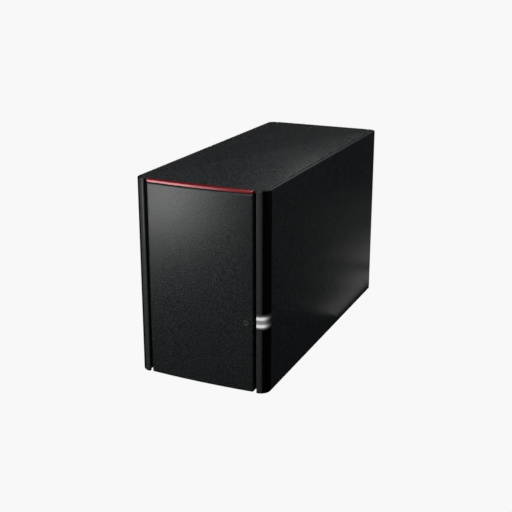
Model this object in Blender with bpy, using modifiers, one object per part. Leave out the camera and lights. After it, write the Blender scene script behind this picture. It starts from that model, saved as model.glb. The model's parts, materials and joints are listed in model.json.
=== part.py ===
"""Two-bay desktop network storage, in metres, +Z up.

The origin is the middle of the footprint on the surface that the feet stand on.
The front cover faces -Y. Two identical trays hold 3.5-inch drives on edge, side by side.
"""

import math

import bmesh
import bpy
from mathutils import Matrix, Vector

# Case
WIDTH = 0.0870
DEPTH = 0.2050
HEIGHT = 0.1270
WALL = 0.0022
GAP = 0.0003  # clearance between pieces that meet
PAST = 0.0010  # how far a cutter runs past the face that it opens
OVERLAP = 0.0001  # how far a joined block stands in from the face that it would share
FOOT_RISE = 0.0015  # underside of the case above the surface
PILLAR_WIDTH = 0.0068  # rounded front corners, one each side of the front cover
VENT_GAP = 0.0019  # air gap between the front cover and each pillar
COVER_CROWN = 0.0012  # how far the middle of the front cover stands forward
REAR_RADIUS = 0.0050
REAR_LIP = 0.0015
EDGE_ROUND = 0.0007
SEAM_ROUND = 0.0003
LEDGE = 0.0020
RETURN_THICKNESS = 0.0020
BASE_SLOTS = 6
BASE_SLOT_START_Y = 0.0060
BASE_SLOT_PITCH = 0.0090
BASE_SLOT_WIDTH = 0.0030
BASE_SLOT_LENGTH = 0.0360

# Front cover
STRIP_HEIGHT = 0.0020
HOOK_X = 0.0200
HOOK_WIDTH = 0.0060
HOOK_THICKNESS = 0.0012

# Status light in the right pillar
LIGHT_Z = 0.0475
LIGHT_HEIGHT = 0.0100
LIGHT_THICKNESS = 0.0020
LIGHT_TAIL = 0.0006  # straight stretch of the window behind the rounded corner
LIGHT_SEAT = 0.0005  # air behind the window
LIGHT_BOARD = 0.0010
LIGHT_BOARD_HEIGHT = 0.0190

# Front frame
FRAME_THICKNESS = 0.0025
RIB_PITCH = 0.0252
RIB_HEIGHT = 0.0020
RIB_REACH = 0.0028
RIB_COUNT = 5
SIDE_VENT_MARGIN = 0.0020
SIDE_VENT_RIM = 0.0012

# 3.5-inch drive standing on edge: thickness across, length back, width up
DRIVE_THICKNESS = 0.0261
DRIVE_LENGTH = 0.1470
DRIVE_WIDTH = 0.1016
DRIVE_BOARD = 0.0012
DRIVE_LID = 0.0007
DRIVE_HOLE_SPACING = 0.1016
DRIVE_HOLE_FROM_REAR = 0.0285
DRIVE_HOLE_FROM_BOARD = 0.00635
DRIVE_HOLE_DEPTH = 0.0045
DRIVE_SCREW_LENGTH = 0.0050
SPINDLE_FROM_FRONT = 0.0515
CHAMBER_DEPTH = 0.0125
CHAMBER_WALL = 0.0030
LID_MARGIN = 0.0010
LID_PANEL_RADIUS = 0.0420
LID_PANEL_DEPTH = 0.0003
DRIVE_BOARD_START = 0.0180
DRIVE_BOARD_END = 0.0060
DRIVE_BOARD_MARGIN = 0.0040
MOTOR_HOLE_RADIUS = 0.0160
SATA_LENGTH = 0.0360
SATA_DEPTH = 0.0044
SATA_SLOT_LENGTH = 0.0330
SATA_SLOT_START = 0.0014
SATA_SLOT_END = 0.0030

# Trays and cage
BAY_WIDTH = 0.0330
RAIL = 0.0030
TRAY_CLEARANCE = 0.0004
TRAY_FACE = 0.0035
TRAY_WEB = 0.0014
TRAY_INSET = 0.0002  # how far the rails stand in from the tray's face
TRAY_WINDOW = 0.0200
TRAY_WINDOW_MARGIN = 0.0070
FACE_SLOTS = 5
FACE_SLOT_PITCH = 0.0055
FACE_SLOT_WIDTH = 0.0024
FACE_SLOT_LOW = 0.0120
FACE_SLOT_HIGH = 0.0840
SHEET = 0.0010
CAGE_WINDOWS = 5
CAGE_WINDOW = 0.0180
CAGE_WINDOW_MARGIN = 0.0120
SKIRT_INSET = 0.0020
FLANGE_HALF_LENGTH = 0.0060
FLANGE_REACH = 0.0030  # sheet outside the middle of the cage screws
CAGE_RISE = 0.0070  # space for the main board under the cage
LATCH_WIDTH = 0.0100
LATCH_REACH = 0.0200
LATCH_THICKNESS = 0.0016
LATCH_PAD = 0.0090
LATCH_PIN_RADIUS = 0.0009
LATCH_PIN_PLAY = 0.0001
LATCH_PIN_REACH = 0.0016
LATCH_CLEARANCE = 0.0004
LATCH_TRAVEL_SPACE = 0.0030
LATCH_HOOK_HALF_WIDTH = 0.0030

# Boards
BOARD = 0.0016
BOARD_RISE = 0.0020
PORT_LINE_Z = 0.0055  # middle of the round holes above the main board
BOARD_START_Y = -0.0100
POST_RADIUS = 0.0025
POST_HOLE_RADIUS = 0.0014
POST_FROM_SIDE = 0.0040
POST_Y_FRONT = -0.0040
POST_FROM_REAR = 0.0160
EDGE_TONGUE_X = 0.0200
EDGE_TONGUE_RISE = 0.0020
EDGE_SLOT_WALL = 0.0020
EDGE_SLOT_HEIGHT = 0.0051
BACKPLANE_WINDOW = 0.0180
CHIP_SIZE = (0.0170, 0.0100, 0.0015)
SINK_SIZE = (0.0260, 0.0115, 0.0120)
SINK_FINS = 8
SINK_PITCH = 0.0034
SINK_FIN = 0.0014
SINK_BASE = 0.0025

# Rear panel
FAN_SIZE = 0.0600
FAN_DEPTH = 0.0150
FAN_HOLE = 0.0250  # screw holes from the fan's middle, each way
FAN_FROM_TOP = 0.0430
FAN_BORE = 0.0283
FAN_TIP = 0.0277
FAN_HUB = 0.0125
FAN_BLADES = 7
FAN_BLADE = (0.0010, 0.0125)  # thickness and chord
FAN_BLADE_PITCH = 50  # degrees
FAN_INLET_RING = 0.0205
FAN_INLET_RADIUS = 0.0060
FAN_AXLE_RADIUS = 0.0015
GRILLE_RADIUS = 0.0278
GRILLE_HOLE = 0.0058
GRILLE_PITCH = 0.0068
BUTTON_TRAVEL = 0.0010
POWER_BUTTON_X = 0.0260
POWER_BUTTON_RADIUS = 0.0040
FUNCTION_BUTTON_X = 0.0170
FUNCTION_BUTTON_RADIUS = 0.0025
BUTTON_PROUD = 0.0007
BUTTON_FLANGE = 0.0008
BUTTON_STEM = 0.0028
BUTTON_STEM_RADIUS = 0.0012
BUTTONS = ((POWER_BUTTON_X, POWER_BUTTON_RADIUS), (FUNCTION_BUTTON_X, FUNCTION_BUTTON_RADIUS))
NETWORK_X = -0.0110
NETWORK_SIZE = (0.0160, 0.0180, 0.0135)
NETWORK_PLUG_WIDTH = 0.0118
NETWORK_PLUG_DEPTH = 0.0125
USB_X = 0.0050
USB_SIZE = (0.0131, 0.0140, 0.0058)
USB_MOUTH_WIDTH = 0.0120
USB_TONGUE_WIDTH = 0.0100
POWER_X = -0.0255
POWER_SIZE = (0.0090, 0.0140, 0.0110)
POWER_BORE_RADIUS = 0.00315
POWER_PIN_RADIUS = 0.00105
SECURITY_SLOT_X = 0.0225
SECURITY_SLOT_RISE = 0.0250
SECURITY_SLOT_WIDTH = 0.0070
SECURITY_SLOT_HEIGHT = 0.0030

# Screws
HEAD_RADIUS = 0.0028
HEAD_HEIGHT = 0.0014
SHANK_RADIUS = 0.0014
CROSS_REACH = 0.0017
CROSS_HALF_WIDTH = 0.0004
CROSS_DEPTH = 0.0006
SEAT_DEPTH = 0.0010
LUG_HALF_WIDTH = 0.0028
REAR_SCREW_X = 0.0335
REAR_SCREW_INSET = 0.0045
REAR_SCREW_LENGTH = 0.0060
FAN_SCREW_LENGTH = 0.0080
CAGE_SCREW_LENGTH = 0.0032

# Feet
FOOT_RADIUS = 0.0050
FOOT_SINK = 0.0005
FOOT_FROM_SIDE = 0.0105
FOOT_FROM_END = 0.0170

# Places worked out from the sizes above
HALF_WIDTH = WIDTH / 2
FRONT_Y = COVER_CROWN - DEPTH / 2
REAR_Y = DEPTH / 2
PILLAR_RADIUS = PILLAR_WIDTH - 0.0005
CORNER_Y = FRONT_Y + PILLAR_RADIUS
INNER_X = HALF_WIDTH - WALL
PANEL_X = INNER_X - GAP
FLOOR_Z = FOOT_RISE + WALL + GAP
CEILING_Z = HEIGHT - WALL - GAP
COVER_X = HALF_WIDTH - PILLAR_WIDTH - VENT_GAP
RETURN_X = HALF_WIDTH - PILLAR_WIDTH + 0.0002
REAR_PANEL_X = HALF_WIDTH - REAR_RADIUS - REAR_LIP - GAP
REAR_PANEL_OUT = REAR_Y - 0.0010
REAR_PANEL_IN = REAR_PANEL_OUT - WALL

FRAME_Y = CORNER_Y + 0.0013
TRAY_Y = FRAME_Y - 0.0018
COVER_BACK_Y = TRAY_Y - 0.0005
CAGE_Y = FRAME_Y + FRAME_THICKNESS + GAP
DRIVE_Y = TRAY_Y + 0.0095
DRIVE_END_Y = DRIVE_Y + DRIVE_LENGTH
CAGE_END_Y = DRIVE_END_Y - 0.0010
BACKPLANE_Y = DRIVE_END_Y + 0.0035

CAGE_Z = FLOOR_Z + CAGE_RISE
BAY_Z = CAGE_Z + SHEET
TRAY_Z = BAY_Z + TRAY_CLEARANCE
DRIVE_Z = TRAY_Z + RAIL + GAP
DRIVE_TOP_Z = DRIVE_Z + DRIVE_WIDTH
TOP_RAIL_Z = DRIVE_TOP_Z + GAP
TRAY_TOP_Z = TOP_RAIL_Z + RAIL
BAY_TOP_Z = TRAY_TOP_Z + TRAY_CLEARANCE
CAGE_TOP_Z = BAY_TOP_Z + SHEET
CAGE_X = BAY_WIDTH + 1.5 * SHEET
BAY_X = BAY_WIDTH + SHEET / 2
BAY_CENTRE_X = (BAY_WIDTH + SHEET) / 2
TRAY_X = BAY_WIDTH / 2 - GAP
CAGE_SCREW_X = CAGE_X + 0.0031
CAGE_SCREW_Y = CAGE_Y + 0.0180
LATCH_PIVOT_Y = TRAY_Y + LATCH_REACH + 0.0005
LATCH_PIVOT_Z = TRAY_TOP_Z - RAIL / 2

BOARD_Z = FLOOR_Z + BOARD_RISE
BOARD_TOP_Z = BOARD_Z + BOARD
PORT_Z = BOARD_TOP_Z + GAP
BOARD_X = 0.0302
BOARD_END_Y = REAR_PANEL_IN - 0.0008
BUTTON_Z = BOARD_TOP_Z + PORT_LINE_Z
FAN_Z = HEIGHT - FAN_FROM_TOP
FAN_Y = REAR_PANEL_IN - GAP
REAR_SCREW_LOW_Z = FLOOR_Z + REAR_SCREW_INSET
REAR_SCREW_TOP_Z = CEILING_Z - REAR_SCREW_INSET
FOOT_X = HALF_WIDTH - FOOT_FROM_SIDE
FOOT_FRONT_Y = FRONT_Y + FOOT_FROM_END
FOOT_REAR_Y = REAR_Y - FOOT_FROM_END


def clear_scene():
    for thing in list(bpy.data.objects):
        bpy.data.objects.remove(thing)


def new_collection(name):
    made = bpy.data.collections.new(name)
    bpy.context.scene.collection.children.link(made)
    return made


clear_scene()
STORAGE = new_collection("network_storage")
CUTTERS = new_collection("cutters")
CUTTERS.hide_render = True


# Basic shapes ------------------------------------------------------------------------


def add_object(name, mesh, home):
    made = bpy.data.objects.new(name, mesh)
    home.objects.link(made)
    if home is CUTTERS:
        made.hide_render = True
        made.display_type = "WIRE"
    return made


def object_from_bmesh(name, bm, home):
    mesh = bpy.data.meshes.new(name)
    bm.to_mesh(mesh)
    bm.free()
    return add_object(name, mesh, home)


def block(name, corner, opposite, home=STORAGE):
    """A box between two opposite corners."""
    corner = Vector(corner)
    opposite = Vector(opposite)
    size = [abs(a - b) for a, b in zip(corner, opposite)]
    bm = bmesh.new()
    place = Matrix.LocRotScale((corner + opposite) / 2, None, Vector(size))
    bmesh.ops.create_cube(bm, size=1, matrix=place)
    return object_from_bmesh(name, bm, home)


def rod(name, start, end, radius, sides=20, home=STORAGE):
    """A round rod between two points."""
    start = Vector(start)
    end = Vector(end)
    along = end - start
    place = Matrix.LocRotScale((start + end) / 2, along.to_track_quat("Z", "Y"), None)
    bm = bmesh.new()
    bmesh.ops.create_cone(
        bm, cap_ends=True, segments=sides, radius1=radius, radius2=radius,
        depth=along.length, matrix=place,
    )
    made = object_from_bmesh(name, bm, home)
    made.data.shade_smooth()
    made.data.set_sharp_from_angle(angle=math.radians(40))
    return made


def plan_plate(name, outline, low_z, high_z, home=STORAGE):
    """A flat plate between two heights, cut to an outline of (x, y) points."""
    curve = bpy.data.curves.new(name + "_outline", "CURVE")
    curve.dimensions = "2D"
    curve.fill_mode = "BOTH"
    curve.extrude = (high_z - low_z) / 2
    spline = curve.splines.new("POLY")
    spline.points.add(len(outline) - 1)
    for point, (x, y) in zip(spline.points, outline):
        point.co = (x, y, 0, 1)
    spline.use_cyclic_u = True
    drawn = bpy.data.objects.new(name + "_outline", curve)
    drawn.location.z = (low_z + high_z) / 2
    home.objects.link(drawn)
    bpy.context.view_layer.update()
    graph = bpy.context.evaluated_depsgraph_get()
    mesh = bpy.data.meshes.new_from_object(drawn.evaluated_get(graph))
    bm = bmesh.new()
    bm.from_mesh(mesh)
    bmesh.ops.remove_doubles(bm, verts=bm.verts, dist=1e-5)
    bmesh.ops.dissolve_limit(bm, angle_limit=1e-3, verts=bm.verts, edges=bm.edges)
    bmesh.ops.recalc_face_normals(bm, faces=bm.faces)
    bm.to_mesh(mesh)
    bm.free()
    made = add_object(name, mesh, home)
    made.matrix_world = drawn.matrix_world
    bpy.data.objects.remove(drawn)
    return made


def standing_wall(name, path, low_z, high_z, thickness, offset, home=STORAGE):
    """A wall along a plan path, anticlockwise: an open surface given its thickness.

    With offset -1 the path is the wall's outer face, and with 0 its middle.
    """
    bm = bmesh.new()
    corners = [bm.verts.new((x, y, high_z)) for x, y in path]
    edges = [bm.edges.new(pair) for pair in zip(corners, corners[1:])]
    raised = bmesh.ops.extrude_edge_only(bm, edges=edges)["geom"]
    lowered = [item for item in raised if isinstance(item, bmesh.types.BMVert)]
    bmesh.ops.translate(bm, vec=(0, 0, low_z - high_z), verts=lowered)
    made = object_from_bmesh(name, bm, home)
    solidify = made.modifiers.new("wall", "SOLIDIFY")
    solidify.thickness = thickness
    solidify.offset = offset
    solidify.use_even_offset = True
    return made


def arc(centre_x, centre_y, radius, start_degrees, end_degrees, steps):
    """Points along an arc in plan, both ends included."""
    sweep = end_degrees - start_degrees
    angles = [math.radians(start_degrees + sweep * i / steps) for i in range(steps + 1)]
    return [(centre_x + radius * math.cos(a), centre_y + radius * math.sin(a)) for a in angles]


def round_edges(piece, width, segments=2):
    bevel = piece.modifiers.new("rounded edges", "BEVEL")
    bevel.width = width
    bevel.segments = segments
    bevel.limit_method = "ANGLE"
    bevel.angle_limit = math.radians(50)


def combine(piece, tool, operation):
    modifier = piece.modifiers.new(tool.name, "BOOLEAN")
    modifier.operation = operation
    modifier.object = tool


def add_block(piece, corner, opposite):
    combine(piece, block(piece.name + "_lug", corner, opposite, CUTTERS), "UNION")


def add_rod(piece, start, end, radius, sides=12):
    combine(piece, rod(piece.name + "_boss", start, end, radius, sides, CUTTERS), "UNION")


def cut_block(piece, corner, opposite):
    combine(piece, block(piece.name + "_opening", corner, opposite, CUTTERS), "DIFFERENCE")


def cut_rod(piece, start, end, radius, sides=12):
    combine(piece, rod(piece.name + "_hole", start, end, radius, sides, CUTTERS), "DIFFERENCE")


def paint(piece, name, colour, roughness, metallic=0.0):
    """Gives the piece its own material. Colours are linear red, green and blue."""
    material = bpy.data.materials.new(name)
    material.use_nodes = True
    shader = material.node_tree.nodes["Principled BSDF"]
    shader.inputs["Base Color"].default_value = (*colour, 1)
    shader.inputs["Roughness"].default_value = roughness
    shader.inputs["Metallic"].default_value = metallic
    piece.data.materials.append(material)


BLACK = (0.012, 0.013, 0.013)
DARK = (0.006, 0.006, 0.006)
GREEN = (0.010, 0.060, 0.030)
STEEL = (0.45, 0.46, 0.47)
CAST = (0.33, 0.34, 0.35)
RED = (0.30, 0.010, 0.012)


def screw(name, head_point, direction, length):
    """A cross-head screw. The head's underside is at head_point, and the shank runs along direction."""
    head_point = Vector(head_point)
    direction = Vector(direction)
    out = head_point - direction * HEAD_HEIGHT
    made = rod(name, head_point, out, HEAD_RADIUS, 12)
    inside_head = head_point - direction * HEAD_HEIGHT / 2
    add_rod(made, inside_head, head_point + direction * length, SHANK_RADIUS, 8)
    across = Vector((1, 0, 0)) if abs(direction.x) < 0.5 else Vector((0, 0, 1))
    other = direction.cross(across)
    for arm, width in ((across, other), (other, across)):
        reach = arm * CROSS_REACH + width * CROSS_HALF_WIDTH
        floor = out + direction * CROSS_DEPTH
        cut_block(made, floor - reach, out + reach - direction * PAST)
    paint(made, name + "_steel", DARK, 0.4, 0.8)
    return made


# Case -------------------------------------------------------------------------------


def cover_path():
    """Outer face of the right side cover in plan, from the front pillar to the rear edge."""
    return [
        (HALF_WIDTH - PILLAR_WIDTH, FRONT_Y),
        *arc(HALF_WIDTH - PILLAR_RADIUS, CORNER_Y, PILLAR_RADIUS, -90, 0, 8),
        *arc(HALF_WIDTH - REAR_RADIUS, REAR_Y - REAR_RADIUS, REAR_RADIUS, 0, 90, 6),
        (REAR_PANEL_X + GAP, REAR_Y),
    ]


def light_path(margin_in, margin_back):
    """The stretch of the right pillar's outer face that the status light covers, plus margins."""
    return [
        (HALF_WIDTH - PILLAR_WIDTH - margin_in, FRONT_Y),
        *arc(HALF_WIDTH - PILLAR_RADIUS, CORNER_Y, PILLAR_RADIUS, -90, 0, 8),
        (HALF_WIDTH, CORNER_Y + LIGHT_TAIL + margin_back),
    ]


def side_cover(name, side):
    path = cover_path()
    if side < 0:
        path = [(-x, y) for x, y in reversed(path)]
    cover = standing_wall(name, path, FOOT_RISE, HEIGHT, WALL, -1)
    round_edges(cover, EDGE_ROUND)
    wall_x = side * (INNER_X + WALL / 2)
    ledge_x = side * (INNER_X - LEDGE)
    for low_z in (FLOOR_Z, CEILING_Z - LEDGE):
        low = (ledge_x, CAGE_SCREW_Y + 0.0090, low_z)
        add_block(cover, low, (wall_x, REAR_PANEL_IN - 0.0040, low_z + LEDGE))
    inner = (side * RETURN_X, FRONT_Y + WALL / 2, FOOT_RISE + 0.0010)
    outer = (side * (RETURN_X + RETURN_THICKNESS), FRAME_Y - GAP, CEILING_Z)
    add_block(cover, inner, outer)
    if side > 0:
        half = LIGHT_HEIGHT / 2 + GAP
        slot = standing_wall(
            "light_slot", light_path(0.0030, GAP), LIGHT_Z - half, LIGHT_Z + half,
            2 * (LIGHT_THICKNESS + LIGHT_SEAT), 0, CUTTERS,
        )
        combine(cover, slot, "DIFFERENCE")
    cover.data.shade_smooth()
    cover.data.set_sharp_from_angle(angle=math.radians(40))
    paint(cover, name + "_plastic", BLACK, 0.55)
    return cover


def mirrored_outline(right_half):
    """Closes an outline from its right half, given front to rear."""
    return right_half + [(-x, y) for x, y in reversed(right_half)]


def rear_corner():
    """Right rear corner of the plates that are let in between the side covers."""
    radius = REAR_RADIUS - WALL - GAP
    centre_y = REAR_Y - REAR_RADIUS
    return [
        *arc(HALF_WIDTH - REAR_RADIUS, centre_y, radius, 0, 90, 4),
        (REAR_PANEL_X, centre_y + radius),
        (REAR_PANEL_X, REAR_Y),
    ]


def top_cover():
    radius = PILLAR_RADIUS - WALL - GAP
    front = arc(HALF_WIDTH - PILLAR_RADIUS, CORNER_Y, radius, -90, 0, 4)
    outline = mirrored_outline(front + rear_corner())
    cover = plan_plate("top_cover", outline, HEIGHT - WALL, HEIGHT)
    round_edges(cover, SEAM_ROUND, 1)
    for side in (-1, 1):
        low = (side * (REAR_SCREW_X - LUG_HALF_WIDTH), FAN_Y - 0.0070, CEILING_Z - 0.0080)
        add_block(cover, low, (side * (REAR_SCREW_X + LUG_HALF_WIDTH), FAN_Y, HEIGHT - WALL / 2))
        middle = (side * REAR_SCREW_X, FAN_Y + PAST, REAR_SCREW_TOP_Z)
        cut_rod(cover, middle, (middle[0], FAN_Y - 0.0055, middle[2]), SHANK_RADIUS + GAP)
    paint(cover, "top_cover_plastic", BLACK, 0.6)
    return cover


def base_panel():
    outline = mirrored_outline([(PANEL_X, FRAME_Y)] + rear_corner())
    panel = plan_plate("base_panel", outline, FOOT_RISE, FOOT_RISE + WALL)
    round_edges(panel, SEAM_ROUND, 1)
    top = FOOT_RISE + WALL
    for side in (-1, 1):
        low = (side * (REAR_SCREW_X - LUG_HALF_WIDTH), FAN_Y - 0.0090, top - WALL / 2)
        add_block(panel, low, (side * (REAR_SCREW_X + LUG_HALF_WIDTH), FAN_Y, top + 0.0085))
        middle = (side * REAR_SCREW_X, FAN_Y + PAST, REAR_SCREW_LOW_Z)
        cut_rod(panel, middle, (middle[0], FAN_Y - 0.0065, middle[2]), SHANK_RADIUS + GAP)
        for y in (FOOT_FRONT_Y, FOOT_REAR_Y):
            start = (side * FOOT_X, y, FOOT_RISE - PAST)
            end = (side * FOOT_X, y, FOOT_RISE + FOOT_SINK + GAP)
            cut_rod(panel, start, end, FOOT_RADIUS + 2 * GAP, 16)
        for y in (POST_Y_FRONT, BOARD_END_Y - POST_FROM_REAR):
            start = (side * (BOARD_X - POST_FROM_SIDE), y, top - WALL / 2)
            add_rod(panel, start, (start[0], y, BOARD_Z - GAP), POST_RADIUS)
        x, y = side * CAGE_SCREW_X, CAGE_SCREW_Y
        cut_rod(panel, (x, y, 0), (x, y, top + PAST), SHANK_RADIUS + GAP)
    for row in range(BASE_SLOTS):
        low = (-BASE_SLOT_LENGTH / 2, BASE_SLOT_START_Y + row * BASE_SLOT_PITCH, 0)
        cut_block(panel, low, (BASE_SLOT_LENGTH / 2, low[1] + BASE_SLOT_WIDTH, top + PAST))
    paint(panel, "base_panel_plastic", BLACK, 0.6)
    return panel


def grille_cutter():
    """Six-sided prisms on a triangular grid inside the fan's circle, all in one mesh."""
    bm = bmesh.new()
    rows = int(GRILLE_RADIUS / (GRILLE_PITCH * math.sqrt(0.75))) + 1
    turn = Matrix.Rotation(math.radians(90), 3, "X").to_quaternion()
    for row in range(-rows, rows + 1):
        for column in range(-rows - 1, rows + 2):
            x = GRILLE_PITCH * (column + 0.5 * (row % 2))
            z = GRILLE_PITCH * math.sqrt(0.75) * row
            if math.hypot(x, z) + GRILLE_HOLE / 2 > GRILLE_RADIUS:
                continue
            centre = Vector((x, REAR_PANEL_IN + WALL / 2, FAN_Z + z))
            bmesh.ops.create_cone(
                bm, cap_ends=True, segments=6, radius1=GRILLE_HOLE / math.sqrt(3),
                radius2=GRILLE_HOLE / math.sqrt(3), depth=3 * WALL,
                matrix=Matrix.LocRotScale(centre, turn, None),
            )
    return object_from_bmesh("fan_grille_holes", bm, CUTTERS)


def screw_seat(panel, x, z):
    """A stepped hole in the rear panel, so that the screw head sits below the rear edge."""
    cut_rod(panel, (x, REAR_PANEL_IN - PAST, z), (x, REAR_Y, z), SHANK_RADIUS + GAP)
    cut_rod(panel, (x, REAR_PANEL_OUT - SEAT_DEPTH, z), (x, REAR_Y, z), HEAD_RADIUS + GAP, 16)


def rear_panel():
    low = (-REAR_PANEL_X, REAR_PANEL_IN, FLOOR_Z)
    panel = block("rear_panel", low, (REAR_PANEL_X, REAR_PANEL_OUT, CEILING_Z))
    round_edges(panel, SEAM_ROUND, 1)
    combine(panel, grille_cutter(), "DIFFERENCE")
    for x in (-FAN_HOLE, FAN_HOLE):
        for z in (FAN_Z - FAN_HOLE, FAN_Z + FAN_HOLE):
            screw_seat(panel, x, z)
    for x in (-REAR_SCREW_X, REAR_SCREW_X):
        for z in (REAR_SCREW_LOW_Z, REAR_SCREW_TOP_Z):
            screw_seat(panel, x, z)
    for size, x in ((NETWORK_SIZE, NETWORK_X), (USB_SIZE, USB_X), (POWER_SIZE, POWER_X)):
        half = size[0] / 2 + GAP
        low = (x - half, REAR_PANEL_IN - PAST, PORT_Z - GAP)
        cut_block(panel, low, (x + half, REAR_Y, PORT_Z + size[2] + GAP))
    for x, radius in BUTTONS:
        start = (x, REAR_PANEL_IN - PAST, BUTTON_Z)
        cut_rod(panel, start, (x, REAR_Y, BUTTON_Z), radius + GAP, 24)
    slot = Vector((SECURITY_SLOT_X, REAR_PANEL_IN - PAST, FLOOR_Z + SECURITY_SLOT_RISE))
    size = Vector((SECURITY_SLOT_WIDTH, 2 * WALL, SECURITY_SLOT_HEIGHT))
    cut_block(panel, slot, slot + size)
    paint(panel, "rear_panel_plastic", BLACK, 0.6)
    return panel


def hook_heights():
    """Middle heights of the cover's hooks: below and above the tray opening."""
    return (FLOOR_Z + BAY_Z) / 2, (BAY_TOP_Z + GAP + CEILING_Z) / 2


def front_frame():
    low = (-PANEL_X, FRAME_Y, FLOOR_Z)
    frame = block("front_frame", low, (PANEL_X, FRAME_Y + FRAME_THICKNESS, CEILING_Z))
    before = FRAME_Y - PAST
    behind = FRAME_Y + FRAME_THICKNESS + PAST
    cut_block(frame, (-BAY_X, before, BAY_Z - GAP), (BAY_X, behind, BAY_TOP_Z + GAP))
    middle = (FLOOR_Z + CEILING_Z) / 2
    ribs = [middle + RIB_PITCH * (i - (RIB_COUNT - 1) / 2) for i in range(RIB_COUNT)]
    for side in (-1, 1):
        for z in ribs:
            low = (side * (COVER_X + GAP), FRAME_Y - RIB_REACH, z - RIB_HEIGHT / 2)
            end = (side * (RETURN_X - GAP), FRAME_Y + FRAME_THICKNESS / 2, z + RIB_HEIGHT / 2)
            add_block(frame, low, end)
        for z, next_z in zip(ribs, ribs[1:]):
            low = (side * (RETURN_X + OVERLAP), before, z + SIDE_VENT_MARGIN)
            end = (side * (PANEL_X - SIDE_VENT_RIM), behind, next_z - SIDE_VENT_MARGIN)
            cut_block(frame, low, end)
    half = HOOK_WIDTH / 2 + GAP
    for x in (-HOOK_X, HOOK_X):
        for z in hook_heights():
            low = (x - half, before, z - HOOK_THICKNESS / 2 - GAP)
            cut_block(frame, low, (x + half, behind, z + HOOK_THICKNESS / 2 + GAP))
    paint(frame, "front_frame_plastic", DARK, 0.6)
    return frame


def crowned_outline(back_y):
    """Plan outline of the front cover: an arched front between square sides."""
    steps = 16
    front = []
    for i in range(steps + 1):
        across = 2 * i / steps - 1
        front.append((across * COVER_X, FRONT_Y - COVER_CROWN * (1 - across * across)))
    return front + [(COVER_X, back_y), (-COVER_X, back_y)]


def front_cover():
    top = HEIGHT - max(STRIP_HEIGHT + GAP, WALL + OVERLAP)
    bottom = FOOT_RISE + GAP
    cover = plan_plate("front_cover", crowned_outline(COVER_BACK_Y), bottom, top)
    round_edges(cover, EDGE_ROUND)
    low = (WALL - COVER_X, FRONT_Y + WALL, bottom + WALL)
    cut_block(cover, low, (COVER_X - WALL, COVER_BACK_Y + PAST, top - WALL))
    for x in (-HOOK_X, HOOK_X):
        for z in hook_heights():
            low = (x - HOOK_WIDTH / 2, FRONT_Y + WALL / 4, z - HOOK_THICKNESS / 2)
            tip = (x + HOOK_WIDTH / 2, CAGE_Y - 2 * GAP, z + HOOK_THICKNESS / 2)
            add_block(cover, low, tip)
    paint(cover, "front_cover_plastic", BLACK, 0.5)
    return cover


def accent_strip():
    low = HEIGHT - STRIP_HEIGHT
    strip = plan_plate("accent_strip", crowned_outline(FRONT_Y + WALL), low, HEIGHT)
    round_edges(strip, EDGE_ROUND)
    paint(strip, "accent_strip_lacquer", RED, 0.3)
    return strip


def status_light():
    half = LIGHT_HEIGHT / 2
    path = light_path(0, 0)
    window = standing_wall(
        "status_window", path, LIGHT_Z - half, LIGHT_Z + half, LIGHT_THICKNESS, -1
    )
    window.data.shade_smooth()
    paint(window, "status_window_plastic", (0.5, 0.6, 0.6), 0.3)
    start_x = RETURN_X + RETURN_THICKNESS + GAP
    low = (start_x, CORNER_Y - 0.0015, LIGHT_Z - LIGHT_BOARD_HEIGHT / 2)
    end = (start_x + LIGHT_BOARD, FRAME_Y - 0.0005, LIGHT_Z + LIGHT_BOARD_HEIGHT / 2)
    board = block("status_board", low, end)
    paint(board, "status_board_laminate", GREEN, 0.5)


def feet():
    corners = [(side * FOOT_X, y) for y in (FOOT_FRONT_Y, FOOT_REAR_Y) for side in (-1, 1)]
    for number, (x, y) in enumerate(corners, 1):
        foot = rod(f"foot_{number}", (x, y, 0), (x, y, FOOT_RISE + FOOT_SINK), FOOT_RADIUS, 16)
        round_edges(foot, 0.0004, 1)
        paint(foot, f"foot_{number}_rubber", DARK, 0.9)


# Cage, trays and drives -------------------------------------------------------------


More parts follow.
